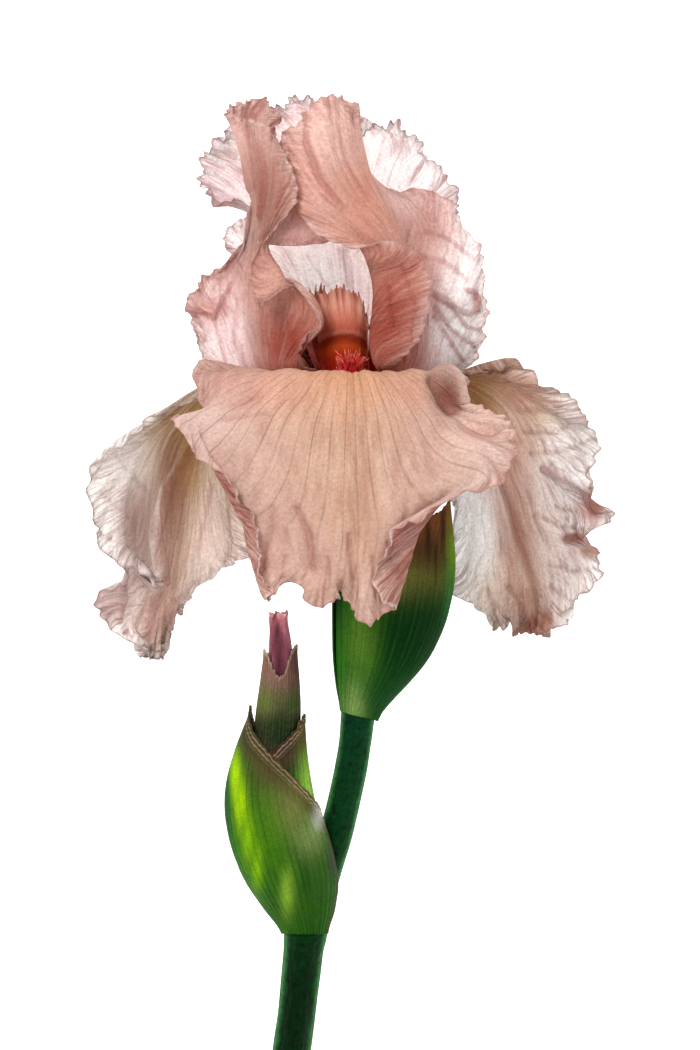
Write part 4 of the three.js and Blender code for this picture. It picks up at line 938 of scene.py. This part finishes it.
tissues = {
    "fall_front": ("fall", peachTissue), "fall_left": ("fall", creamTissue),
    "fall_right": ("fall", creamTissueRight), "standard_left": ("standard", salmonTissue),
    "standard_right": ("standard", salmonTissue), "standard_back": ("standard", paleTissue),
}
petalWall, bractWall = 0.3, 0.5  # thickness in mm
surfaces = {}  # each petal's finished grid, for the beards to stand on
for nodeName, look in petals.items():
    slot, tissue = tissues[nodeName]
    upper = tissueMaterial("petal tissue " + nodeName, tissue)
    materials = [upper, upper]
    if nodeName == "fall_front":
        materials[1] = tissueMaterial("petal underside", undersideTissue)
    bm = bmesh.new()
    surfaces[nodeName], traits = petalGrid(look)
    addSheet(bm, surfaces[nodeName], traits, look["patches"])
    if nodeName == "standard_left":
        # the fold that runs behind the right standard's rolled margin, coral where layers overlap; its patch paints it
        # paler, painted light against the shade between the standards
        addSheet(bm, *plainGrid(tuckRows, 60, 30, 0.5, 7), [(-10, 38, 20, 20, "#FFD8D0", 1.0)])
    if look.get("faceBack"):
        bmesh.ops.reverse_faces(bm, faces=bm.faces)
    thicken(finishPiece("petal_" + nodeName, bm, materials, nodeName, slot), petalWall, twoSided=True)
print("petals done")


# rods, stalks and hairs: a grid of faces rolled up round a line of stations (x, y, z, radius)

noMargin = 50  # mm from a margin, on a piece that has none


def addRod(bm, stations, around, along, shape=None, crown=None):
    path = splineSpans([Vector(s[:3]) for s in stations])
    radii = splineSpans([Vector((s[3], i, 0)) for i, s in enumerate(stations)])
    frames = []
    for i in range(along + 1):
        t = i / along
        forward = (onSpline(path, min(t + 0.01, 1)) - onSpline(path, max(t - 0.01, 0))).normalized()
        side = Vector((1, 0, 0)).cross(forward).normalized()
        frames.append((onSpline(path, t), side, forward.cross(side), forward, onSpline(radii, t).x, t))
    cells, layers, patchLayer = layGrid(bm, around, along + 2)  # a row more at each end closes it
    for vert, row, _ in cells:
        ring = row - 1
        turn = 2 * math.pi * (vert.co.x + 0.5)
        centre, side, over, forward, radius, t = frames[min(max(ring, 0), along)]
        bulge = shape(turn, t) if shape else 1
        relief = max(-1.0, min(1.0, (bulge - 1) * 6))
        for layer, value in zip(layers, (4 * abs(vert.co.x), noMargin, 0, relief)):
            vert[layer] = value
        vert[patchLayer] = (1, 1, 1, 0)
        if ring < 0 or ring > along:
            bulge = 0  # the end's middle
        place = centre + (side * math.cos(turn) + over * math.sin(turn)) * (radius * bulge) + throat
        if crown:
            place += forward * crown(turn, t, bulge)
        vert.co = place * mm


def closeRods(bm):
    # each rod's long seam and its ends' middles are merged
    bmesh.ops.remove_doubles(bm, verts=bm.verts, dist=0.002 * mm)
    bmesh.ops.recalc_face_normals(bm, faces=bm.faces)


stem = {
    "stations": [
        (-17.5, -212, 5.2 - surfaceDepth, 5.2), (-17, -200, 5.2 - surfaceDepth, 5.2),
        (-16.3, -188, 5.5 - surfaceDepth, 5.2), (-14.3, -172, -33, 5.2), (-12.8, -158, -28.5, 5.4),
        (-12, -152, -26.8, 5.8), (-10.8, -146, -25, 5.2), (-7, -135, -22, 4.7), (-3.3, -123, -19, 4.5),
        (-0.3, -110, -16, 4.4), (1.4, -100, -13.7, 4.4), (2.2, -92, -11.8, 4.6),
    ],
    "branch": [
        (-12, -153, -26.5, 4.4), (-14.5, -145, -22.5, 4.2), (-17.5, -136, -18, 4), (-18.8, -128, -15.5, 3.8),
    ],
    "ribs": 13, "ribDepth": 0.014,
}
# stem: waxy green with a painted highlight along each side, where backlight catches its edges; mottled and streaked
stemTissue = {
    "across": [(0.0, "#03240A"), (0.12, "#042E0B"), (0.19, "#2C9438"), (0.25, "#042E0B"), (0.5, "#03240A"),
               (0.74, "#042E0B"), (0.8, "#3CA044"), (0.88, "#03240A"), (1.0, "#03240A")],
    "along": [(0.0, "#010C02"), (0.3, "#021A05"), (0.7, "#053A16"), (1.0, "#063A24")],
    "alongFade": (0.0, 1.0), "alongShare": (0.6, 0.45), "vein": "#011004", "veins": 5, "veinRun": 2.2,
    "veinForce": (0.5, 0.5), "fineShare": 0.6, "fibres": 1.5, "hollow": "#011004", "hollowShare": 0.5,
    "ridge": "#1F6A22", "ridgeShare": 0.3, "roughness": 0.5, "shine": 0.04, "cloudMm": 5, "wobble": 0.06,
    "mottle": "#010A02", "mottleMm": 1.8, "mottleShare": 0.75, "speck": 0.3,
}
tube = {
    "stations": [
        (2.2, -90.9, -11.7, 3.6), (2, -84, -11, 3.7), (1.5, -72, -9.5, 3.8), (1, -60, -7.5, 3.2),
        (0.5, -45, -5, 3), (0, -28, -2, 3), (0, -16, 0, 5.2), (0, -8, 0, 5.4),
    ],
}
# ovary and tube: pale matte green that turns pink towards the petals
ovaryTissue = {
    **stemTissue, "across": [(0.0, "#7E9A4A"), (0.5, "#9CB05C"), (1.0, "#7E9A4A")],
    "along": [(0.0, "#4E7A34"), (0.6, "#A9B868"), (1.0, "#D8A48A")], "vein": "#6C7F3C",
    "hollow": "#5F7A34", "mottle": "#6E8440", "mottleShare": 0.4,
}
bud = {
    "stations": [
        (-19.3, -127.2, -15, 2.6), (-20, -118, -13.4, 4), (-20, -104, -12.5, 4), (-19.8, -92, -11.9, 3.2),
        (-19.1, -84, -11.6, 3.2), (-18.8, -75, -11.2, 3), (-19, -69, -10.9, 2.6), (-19.2, -64.5, -10.8, 2.5),
    ],
    "rolls": 3, "rollDepth": 0.12, "twist": 5,
}
# the bud's rolled petals: dusky mauve, rose at their frilled tips
budPetalTissue = {
    "across": [(0.0, "#6E3442"), (0.3, "#8A4856"), (0.6, "#5E2A36"), (1.0, "#6E3442")],
    "along": [(0.0, "#4E2230"), (0.8, "#7E3E4C"), (0.93, "#C06A72"), (1.0, "#F0B0AE")],
    "alongFade": (0.6, 0.98), "alongShare": (0.3, 1.0), "vein": "#3E1420", "veins": 3, "veinRun": 1.0,
    "veinForce": (0.5, 0.5), "fibres": 1.0, "hollow": "#3A121E", "hollowShare": 0.8,
    "ridge": "#B87A86", "ridgeShare": 0.5, "roughness": 0.55, "glow": 0.15, "cloudMm": 4, "speck": 0.25,
}


def ribbed(turn, t):
    dents = 0.03 * rough(math.cos(turn) * 2, math.sin(turn) * 2, t * 14)
    return 1 + stem["ribDepth"] * math.cos(stem["ribs"] * turn) + dents


def rolled(turn, t):
    fold = math.cos(bud["rolls"] * turn + bud["twist"] * t)
    crinkle = rough(math.cos(turn) * 3, math.sin(turn) * 3, t * 9)
    flare = 0.14 * smooth(0.93, 1, t) * math.sin(7 * turn + 2)
    return 1 + bud["rollDepth"] * fold + 0.1 * crinkle + flare


def frilled(turn, t, bulge):
    # ragged tips round the end, and a hollow in the middle of it
    if bulge == 0:
        return -3.0 if t > 0.5 else 0.0
    return smooth(0.93, 1, t) * (1.2 * rough(math.cos(turn) * 4, math.sin(turn) * 4, 8) - 0.4)


stalk = bmesh.new()
addRod(stalk, stem["stations"], 44, 170, ribbed)
addRod(stalk, stem["branch"], 24, 20)
closeRods(stalk)
finishPiece("stem_stalk", stalk, [tissueMaterial("green stem skin", stemTissue)], "stem", "stem")
core = bmesh.new()
addRod(core, tube["stations"], 28, 60)
closeRods(core)
ovaryMaterial = tissueMaterial("pale ovary skin", ovaryTissue)
finishPiece("ovary_and_tube", core, [ovaryMaterial], "perianth_tube", "stem")
roll = bmesh.new()
addRod(roll, bud["stations"], 64, 120, rolled, frilled)
closeRods(roll)
budMaterial = tissueMaterial("dusky bud petal", budPetalTissue)
finishPiece("bud_rolled_petals", roll, [budMaterial], "bud_petals", "bud")
print("stalks done")


# bracts: leaves wrapped round what they cover, given as sections
# (y, left, right, z of the middle, half depth), from the foot up

def sectionAt(sections, y):
    i = 0
    while i < len(sections) - 2 and y > sections[i + 1][0]:
        i += 1
    low, high = sections[i], sections[i + 1]
    share = min(max((y - low[0]) / (high[0] - low[0]), 0), 1)
    return [a + (b - a) * share for a, b in zip(low, high)]


def bractGrid(look):
    across, along = look["cells"]
    start, end = look["headings"]
    keel, seed = look["keel"], look["seed"]
    widest = max(abs(start - keel), abs(end - keel))
    grid, traits = [], []
    for i in range(along + 1):
        row, traitRow = [], []
        for j in range(across + 1):
            heading = start + (end - start) * j / across
            # the leaf is shorter towards its margins than along its keel
            away = (abs(heading - keel) / widest) ** 1.3
            low = look["foot"] + (look["marginFoot"] - look["foot"]) * away
            high = look["top"] + (look["marginTop"] - look["top"]) * away
            high -= look.get("dip", 0) * math.exp(-((heading - 90) / 38) ** 2)
            y = low + (high - low) * i / along
            steps = [sectionAt(look["sections"], y + d) for d in (-3, -1, 1, 3)]
            _, left, right, middle, depth = [sum(v) / 4 for v in zip(*steps)]
            angle = math.radians(heading)
            sideMm = min(j, across - j) / across * math.pi * (right - left)
            edge = min(sideMm + 4, (1 - i / along) * (high - low))
            rib = math.sin(heading * look["ribs"]) + rough(heading * 0.15, y * 0.03, seed + 1)
            wave = look["wave"] * rough(heading * 0.02, y * 0.05, seed) + look["rib"] * rib
            wave -= look["hug"] * (1 - smooth(0, 7, y - low))  # tight round the stem at its foot
            wave += look.get("lip", 0.35) * max(0.0, 1 - edge / 1.6)
            torn = max(0.0, 1 - edge / 2.5) * look["tear"]
            tooth = rough(heading * 0.12, y * 0.5, seed + 4)
            x = (left + right) / 2 + ((right - left) / 2 + wave) * math.cos(angle)
            row.append(Vector((x, y + torn * tooth, middle + (depth + wave) * math.sin(angle))))
            traitRow.append((heading / 60, edge, heading / 4, rib * 0.5, 0))
        grid.append(row)
        traits.append(traitRow)
    return grid, traits


def drawnIn(sections, by):
    return [(y, left + by, right - by, middle, depth - by) for y, left, right, middle, depth in sections]


spatheSections = [
    (-95, -3.2, 7.2, -12.6, 5.2), (-91, -3.2, 8.8, -11.8, 5.5), (-86, -3.8, 14, -11.2, 6.6),
    (-78, -4.8, 21, -10.2, 8), (-68, -5, 25.8, -9, 9), (-58, -5.2, 28, -7.5, 9), (-50, -6, 28.4, -6, 8),
    (-42, 4, 27.6, -5, 6.5), (-33, 24.5, 26.4, -4, 1),
]
innerSpatheSections = [
    (-88, -2.4, 6.6, -11.4, 4.6), (-80, -2.9, 6.7, -10.6, 4.8), (-72, -3.2, 6.5, -9.4, 5),
    (-60, -3.2, 6.2, -7.5, 4.7), (-50, -3, 6, -5.6, 4.6),
]
budSections = [
    (-153, -18.9, -5, -27, 6.9), (-150, -20.4, -4.6, -25.6, 7.4), (-145, -23.6, -3.8, -23.2, 8.4),
    (-138, -28.5, -2.6, -18, 9.4), (-128, -32, -4.5, -13.5, 10), (-118, -33.8, -8, -12.5, 9.8),
    (-110, -33.4, -9.5, -12.5, 9.2), (-100, -30.4, -10.8, -12, 7.9), (-94, -27.7, -11.2, -11.8, 7),
    (-89, -26, -11.6, -11.6, 6.3),
]
budTubeSections = [
    (-124, -27, -13.6, -14, 6), (-108, -27, -14.2, -12.8, 5.6), (-92, -25.2, -13.6, -12, 4.9),
    (-86, -24.3, -13.8, -11.7, 4.6), (-80, -23.6, -14.2, -11.4, 4.4), (-73, -22.9, -14.7, -11.2, 4.2),
]
# leaf green: fine dark veins along it, paler windows where light comes through
leafTissue = {
    "across": [(0.0, "#1A661A"), (0.45, "#2A700E"), (0.6, "#0E5210"), (0.75, "#063E0E"), (1.0, "#28761C")],
    "vein": "#04260A", "veins": 6, "veinRun": 0.25, "veinWidth": 0.12, "veinForce": (0.7, 0.7),
    "fibres": 1.8, "hollow": "#042C06", "hollowShare": 0.4, "ridge": "#5FA030", "ridgeShare": 0.2,
    "rim": "#8FA45A", "rimMm": 0.8, "rimShare": 0.6, "roughness": 0.5, "shine": 0.04, "glow": 0.2,
    "cloudMm": 6, "wobble": 0.14, "speck": 0.25, "mottle": "#04300A", "mottleMm": 3, "mottleShare": 0.35,
    "patchOver": 0.55,
}
# the bud's leaves dry along their upper margins: tan and brown fibres
budLeafTissue = {**leafTissue, "bandsMm": 9, "bandsShare": 0.95, "bands": [
    (0.0, "#D8C09C"), (0.03, "#5A382C"), (0.08, "#34201A"), (0.13, "#6E4A3C"), (0.16, "#CDB094"),
    (0.2, "#2E1A14"), (0.28, "#5C4436"), (0.33, "#B4967A"), (0.37, "#2E2018"), (0.44, "#6E5A40"),
    (0.5, "#3E3022"), (0.7, "#4E4628"), (1.0, "#4A4C22"),
]}
# dry bract: papery, brown-mauve and tan with fibrous veins
paperTissue = {
    **leafTissue, "across": [(0.0, "#8E6C5C"), (0.5, "#7E5C4C"), (1.0, "#9A7C68")], "vein": "#3E241E",
    "hollow": "#4E322C", "hollowShare": 0.3, "ridge": "#CDB49C", "rim": "#E2CFAC", "rimMm": 1.2,
    "rimShare": 0.9, "roughness": 0.65, "shine": 0.08, "glow": 0.3, "mottle": "#B0907A", "mottleMm": 2,
    "mottleShare": 0.12,
}
bracts = {
    "spathe_outer": ("spathe_leaf", "bract", leafTissue, {
        "sections": spatheSections, "headings": (-165, 155), "keel": 0, "foot": -94.5, "marginFoot": -91.5,
        "top": -33, "marginTop": -52, "cells": (160, 130), "wave": 0.4, "rib": 0.1, "ribs": 0.9, "seed": 21,
        "tear": 0.6, "hug": 0.4, "patches": [
            # (3, -72) and (1, -90) are painted highlights on the left side, (21, -72) is painted shade on the right
            # side
            (16, -55, 11, 6, "#80803A", 0.9), (23, -39, 10, 11, "#8E5634", 1.0),
            (20, -48, 6, 5, "#5A3822", 0.8), (25, -42, 0.8, 9, "#2E160A", 0.9),
            (21, -44, 0.8, 7, "#2E160A", 0.8), (23, -50, 0.8, 6, "#382010", 0.7),
            (3, -72, 4, 11, "#64922C", 0.8), (21, -72, 8, 16, "#0A3412", 0.8),
            (10, -88, 8, 6, "#15481C", 0.6), (27.8, -49, 1.4, 8, "#8CB01C", 0.9),
            (1, -90, 3, 6, "#8FAE5C", 0.6), (27.5, -60, 2, 14, "#2F7236", 0.7),
            (-3.5, -58, 2, 9, "#0C2A10", 0.9),
        ]}),
    "spathe_inner": ("spathe_inner_leaf", "dry_bract", paperTissue, {
        "sections": innerSpatheSections, "headings": (330, 30), "keel": 180, "foot": -85, "marginFoot": -85,
        "top": -55, "marginTop": -66, "cells": (70, 50), "wave": 0.2, "rib": 0.04, "ribs": 0.8, "seed": 22,
        "tear": 0.8, "hug": 0, "patches": [(0, -80, 8, 12, "#5E7A3A", 0.8)]}),
    "bud_bract_outer": ("bud_leaf", "bract", budLeafTissue, {
        "sections": budSections, "headings": (262, 12), "keel": 185, "foot": -152.5, "marginFoot": -152.5,
        "top": -90.5, "marginTop": -119, "cells": (160, 150), "wave": 0.5, "rib": 0.1, "ribs": 0.8,
        "seed": 23, "tear": 1.0, "hug": 0.9, "patches": [
            (-22, -122, 7, 18, "#487A0C", 0.75), (-26, -96, 7, 8, "#3E4A26", 0.75),
            (-20, -107, 8, 8, "#4E4526", 0.95), (-15, -117, 5, 7, "#77783E", 0.8),
            (-7, -132, 5, 12, "#345A16", 0.8), (-31, -109, 1.5, 6, "#A8D800", 1.0),
            (-29.5, -117, 1.5, 6, "#A0CC04", 1.0), (-27.5, -126, 1.4, 6, "#84B808", 0.9),
            (-25, -134, 1.4, 6, "#84B808", 0.8), (-16, -146, 9, 7, "#2E5C06", 0.8),
            (-17, -141, 1.8, 6, "#9CC83A", 0.6), (-11, -126, 4, 5, "#8C9A5C", 0.5),
            # (-8.5, -120) is a painted highlight; (-4, -130) is painted shade from the stem and leaf beside it
            (-33.2, -118, 1.2, 24, "#1E5420", 0.8), (-8.5, -120, 1.6, 3, "#E6EADC", 0.85),
            (-4, -130, 2, 7, "#3A3440", 0.7),
        ]}),
    "bud_bract_inner": ("bud_inner_leaf", "bract", budLeafTissue, {
        "sections": drawnIn(budSections, 1.4), "headings": (-40, 120), "keel": 8, "foot": -124,
        "marginFoot": -122, "top": -92.5, "marginTop": -108, "cells": (100, 90), "wave": 0.4, "rib": 0.09,
        "ribs": 0.8, "seed": 24, "tear": 1.2, "hug": 0, "patches": [
            (-17, -103, 7, 6, "#3E2E24", 0.85), (-12, -96, 3, 5, "#6A5A3C", 0.7),
            (-11, -110, 2.5, 9, "#A8DC50", 0.8),
        ]}),
    "bud_bract_top": ("bud_top_leaf", "dry_bract", paperTissue, {
        "sections": budTubeSections, "headings": (-110, 235), "keel": 60, "foot": -120, "marginFoot": -120,
        "top": -73.5, "marginTop": -77, "dip": 8.5, "cells": (150, 100), "wave": 0.3, "rib": 0.08,
        "ribs": 0.7, "seed": 25, "tear": 1.4, "hug": 0, "lip": 0.2, "patches": [
            (-19, -97, 11, 9, "#0A2E0A", 1.0), (-24, -89, 4, 4, "#6A7A34", 0.8),
            (-15, -89, 3, 4, "#3C5A24", 0.7), (-21, -81, 5, 4, "#8E6A5C", 0.7),
            (-15, -79, 2, 6, "#5E3A34", 0.7),
        ]}),
}
for nodeName, (name, slot, tissue, look) in bracts.items():
    leaf = bmesh.new()
    addSheet(leaf, *bractGrid(look), look["patches"])
    if look["headings"][1] > look["headings"][0]:
        bmesh.ops.reverse_faces(leaf, faces=leaf.faces)
    material = tissueMaterial("leaf skin " + name, tissue)
    thicken(finishPiece(name, leaf, [material], nodeName, slot), bractWall)


# style arms, stamens and beards

styleRows = [
    [(-2.2, -7.2, 2.6), (-1.2, -7.2, 3.3), (0, -7.2, 3.6), (1.2, -7.2, 3.3), (2.2, -7.2, 2.6)],
    [(-7, 0, 5), (-3.5, 0, 8.5), (0, 0, 9.5), (2.8, 0, 8.5), (5, 0, 5.5)],
    [(-8.5, 6, 7.5), (-4.5, 6.5, 11.5), (-1, 6.5, 13), (2.3, 6.5, 11.5), (4.6, 6, 8)],
    [(-8.5, 11, 9), (-4.5, 11.5, 12.5), (-1, 11.5, 13.5), (2, 11.5, 12.5), (4.6, 11, 9)],
    [(-9, 17, 9), (-5.5, 17, 11), (-2, 17.5, 11.5), (2, 17, 11), (4.8, 15, 9)],
    [(-10, 22.5, 10), (-6, 21.5, 10.5), (-2.5, 22.5, 10.5), (1.5, 21.5, 10.5), (4.6, 16.5, 9.5)],
]
styleArm = {"across": 220, "along": 90, "fringe": 2.3, "teeth": 30, "thick": 0.4}
# style arm: pale coral crest, orange-red below the stigma's lip, with a band of painted shade in the hollow just under
# the lip
styleTissue = {
    "across": [(0.0, "#C8745C"), (0.3, "#DE987E"), (0.6, "#E2A088"), (1.0, "#C8745C")],
    "along": [(0.0, "#A81004"), (0.3, "#B82408"), (0.42, "#D0541C"), (0.5, "#9A3216"), (0.56, "#B0482E"),
              (0.68, "#D07A60"), (0.84, "#E0A088"), (0.95, "#C47A68"), (1.0, "#B06856")],
    "alongFade": (0.8, 1.1), "alongShare": (1.0, 0.6), "rim": "#C98872", "rimMm": 1.2, "rimShare": 0.4,
    "vein": "#8E3C28", "veins": 9, "veinRun": 0.6, "veinForce": (0.5, 0.75), "hollow": "#8E2C18",
    "hollowShare": 0.6, "ridge": "#F3C8B2", "ridgeShare": 0.4, "glow": 0.35, "cloudMm": 5, "wobble": 0.08,
    "fibres": 1.2,
}


def styleGrid(heading):
    # the CAD arm's surface, with a pleated crest, a fringe of teeth and the stigma's lip
    across, along = styleArm["across"], styleArm["along"]
    grid = loft(styleRows, across, along)
    turn = math.radians(90 - heading)
    traits, turned = [], []
    for i, row in enumerate(grid):
        t = i / along
        crest = smooth(0.6, 1.0, t)
        lip = 0.8 * math.exp(-((t - 0.56) / 0.035) ** 2)
        out, traitRow = [], []
        for j, p in enumerate(row):
            s = 2 * j / across - 1
            place = styleArm["teeth"] * (j / across + 0.05 * rough(j * 0.12, heading, 3))
            tooth = (1 - abs(2 * (place % 1) - 1)) ** 0.8
            tall = 0.2 + 1.6 * abs(rough(math.floor(place) * 1.7 + 0.4, heading, 5))
            y = p.y + smooth(0.82, 1, t) * styleArm["fringe"] * (tooth * tall * 1.5 - 0.4)
            y += 0.5 * crest * rough(s * 4, t * 2, heading + 7)
            y -= 1.6 * s * s * smooth(0.15, 0.5, t) + crest * 2.2 * smooth(0.55, 1, s)
            pleat = math.sin(s * 19 + heading + 4 * rough(s * 2, t, heading))
            z = p.z + lip + crest * 0.4 * pleat + 0.5 * rough(s * 2, t * 3, heading)
            x = p.x * (1 + 0.1 * crest) + 0.3 * rough(s * 5, t * 9, heading + 2) * t
            x += 0.4 * crest * rough(s * 12, t * 3, heading + 4)
            out.append(Vector((x * math.cos(turn) + z * math.sin(turn), y,
                               z * math.cos(turn) - x * math.sin(turn))))
            # relief: the crest's pleats, a painted highlight on the lip and painted shade in the hollow under it
            relief = crest * 0.7 * pleat + lip * 0.5 - 0.6 * math.exp(-((t - 0.48) / 0.05) ** 2)
            edge = min(min(j, across - j) / across * 14, (1 - t) * 32)
            traitRow.append((s, edge, s * 7, relief, 0))
        turned.append(out)
        traits.append(traitRow)
    return turned, traits


styleMaterial = tissueMaterial("style arm tissue", styleTissue)
# anther: dusty cream on a coral filament
pollenMaterial = tissueMaterial("pollen sac", {
    **styleTissue, "along": [(0.0, "#C8301A"), (0.55, "#D8502E"), (0.75, "#E8C89A"), (1.0, "#EBDCB4")],
    "alongShare": (1.0, 1.0), "rimShare": 0.0, "hollow": "#C99A6A", "ridge": "#F3E6C4", "roughness": 0.8,
})
# a filament and its anther, given as (distance from the axis, y, radius)
stamenLine = [
    (4.9, -7.5, 0.4), (8.4, -4, 0.4), (11.8, -0.5, 0.4), (13, 0.8, 0.8), (15, 3.2, 0.8), (15.6, 4, 0.4),
]
for side, heading in (("front", 90), ("left", 210), ("right", 330)):
    arm = bmesh.new()
    addSheet(arm, *styleGrid(heading))
    bmesh.ops.reverse_faces(arm, faces=arm.faces)
    piece = finishPiece("style_" + side, arm, [styleMaterial], "style_arm_" + side, "style")
    thicken(piece, styleArm["thick"])
    angle = math.radians(heading)
    stations = [(r * math.cos(angle), y, r * math.sin(angle), width) for r, y, width in stamenLine]
    stamen = bmesh.new()
    addRod(stamen, stations, 12, 40)
    closeRods(stamen)
    finishPiece("stamen_stalk_" + side, stamen, [pollenMaterial], "stamen_" + side, "stamen")

# beard: satin red hairs, paler at their tips, with darker ones among them
beardMaterial, add = newMaterial("coral beard hair")
hairLength = add("SeparateXYZ", (add("UVMap", uv_map="sheet")[0],))[1]
hairColour = add("ValToRGB", (hairLength,),
                 [(0.0, "#5A0206"), (0.3, "#A80E12"), (0.65, "#D0261F"), (1.0, "#FF8A78")])[0]
shade = add("TexNoise", {"Vector": add("TexCoord")["Object"], "Scale": 1 / (0.9 * mm), "Detail": 3,
                         "Roughness": 0.55})[0]
shade = add("MapRange", (shade, 0.4, 0.58, 0.7, 0.0))[0]
hairColour = add("Mix", {0: shade, 6: hairColour, 7: hexColour("#6A0608")}, data_type="RGBA")[2]
hair = add("BsdfPrincipled", {"Base Color": hairColour, "Roughness": 0.5, "Specular IOR Level": 0.15})[0]
hairGlow = add("BsdfTranslucent", {"Color": hairColour})[0]
add("OutputMaterial", (add("MixShader", (0.3, hair, hairGlow))[0],))

# from and to: the shares of the fall's length between which the hairs stand; lengths in mm
beards = {
    "front": {"up": -1, "hairs": 330, "from": 0.13, "to": 0.26, "width": 0.042, "length": 6.6, "seed": 31},
    "left": {"up": 1, "hairs": 90, "from": 0.09, "to": 0.17, "width": 0.09, "length": 3.2, "seed": 32},
    "right": {"up": 1, "hairs": 90, "from": 0.1, "to": 0.18, "width": 0.09, "length": 3.2, "seed": 33},
}
rootDepth = 0.08  # mm that a hair's root is sunk in its petal
for side, look in beards.items():
    draw = random.Random(look["seed"])
    grid = surfaces["fall_" + side]
    normals = gridNormals(grid)
    tuft = bmesh.new()
    for h in range(look["hairs"]):
        share = draw.random()
        t = look["from"] + (look["to"] - look["from"]) * share
        lane = (draw.random() * 2 - 1) * (0.5 + 0.5 * math.sin(math.pi * share))
        i, j = round(t * (len(grid) - 1)), round((0.5 + look["width"] * lane) * (len(grid[0]) - 1))
        up = normals[i][j] * look["up"]
        along = (grid[i + 1][j] - grid[i - 1][j]).normalized()
        aside = (grid[i][j + 1] - grid[i][j - 1]).normalized()
        lean = aside * (lane * 0.4 + draw.uniform(-0.22, 0.22)) + along * draw.uniform(-0.4, 0.3)
        root = grid[i][j] + aside * draw.uniform(-0.7, 0.7) + along * draw.uniform(-0.7, 0.7)
        reach = look["length"] * draw.uniform(0.6, 1.1)
        bend = lean * draw.uniform(0.3, 1.5) + along * draw.uniform(-0.6, 0.8)
        middle = root + (up + lean * 0.3).normalized() * reach * 0.55
        tip = root + (up + lean).normalized() * reach + bend
        addRod(tuft, [(*(root - up * rootDepth), 0.05), (*(root + up * 0.4), 0.22), (*middle, 0.2),
                      (*tip, 0.13)], 5, 5)
    closeRods(tuft)
    finishPiece("beard_hairs_" + side, tuft, [beardMaterial], "beard_" + side, "beard")
print("beards done")


# floor, lights and camera

setting = {
    "floor": "#F7F7F7", "floorGlow": 0.9, "world": 0.78,
    "mmPerPixel": 0.27, "pictureHeight": 1050, "pictureCentre": (0.0, -41.3),  # mm from the throat
    "distance": 3000,
}
# floor: matte white paper, with a fine tooth
floorMaterial, add = newMaterial("matte white paper")
tooth = add("TexNoise", {"Scale": 400, "Detail": 2})[0]
toothBump = add("Bump", {"Height": tooth, "Strength": 0.05, "Distance": 0.05 * mm})[0]
paper = add("BsdfPrincipled", {
    "Base Color": hexColour(setting["floor"]), "Normal": toothBump, "Roughness": 0.9,
    "Emission Color": (1, 1, 1, 1), "Emission Strength": setting["floorGlow"],
})[0]
add("OutputMaterial", (paper,))
ground = bmesh.new()
bmesh.ops.create_grid(ground, x_segments=1, y_segments=1, size=3)
floorMesh = bpy.data.meshes.new("floor")
ground.to_mesh(floorMesh)
ground.free()
floorMesh.materials.append(floorMaterial)
floor = bpy.data.objects.new("floor", floorMesh)
bpy.context.scene.collection.objects.link(floor)
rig.stage(floor)

world = bpy.data.worlds.new("studio")
bpy.context.scene.world = world
world.use_nodes = True
world.node_tree.nodes["Background"].inputs[0].default_value = (1, 1, 1, 1)
world.node_tree.nodes["Background"].inputs[1].default_value = setting["world"]

lamps = {
    "key": {"place": (-0.5, 0.6, 1.4), "size": 0.5, "watts": 20},
    "fill": {"place": (0.9, -0.3, 1.3), "size": 1.0, "watts": 5},
}
for name, look in lamps.items():
    lamp = bpy.data.lights.new(name, "AREA")
    lamp.size = look["size"]
    lamp.energy = look["watts"]
    light = bpy.data.objects.new(name, lamp)
    bpy.context.scene.collection.objects.link(light)
    light.location = look["place"]
    light.rotation_euler = (-Vector(look["place"])).to_track_quat("-Z", "Y").to_euler()

lens = bpy.data.cameras.new("photo camera")
camera = bpy.data.objects.new("photo camera", lens)
bpy.context.scene.collection.objects.link(camera)
centre = throat + Vector((*setting["pictureCentre"], 0))
camera.location = (centre.x * mm, centre.y * mm, (surfaceDepth + setting["distance"]) * mm)
lens.sensor_width = 36
lens.lens = lens.sensor_width * setting["distance"] / (setting["pictureHeight"] * setting["mmPerPixel"])
lens.clip_end = 20
bpy.context.scene.camera = camera
bpy.context.scene.view_settings.view_transform = "Standard"

with open("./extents.json", "w") as file:
    json.dump({"cad": [list(corner) for corner in cadBox],
               "visual": [list(corner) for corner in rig.bounds()]}, file)
print("scene done")
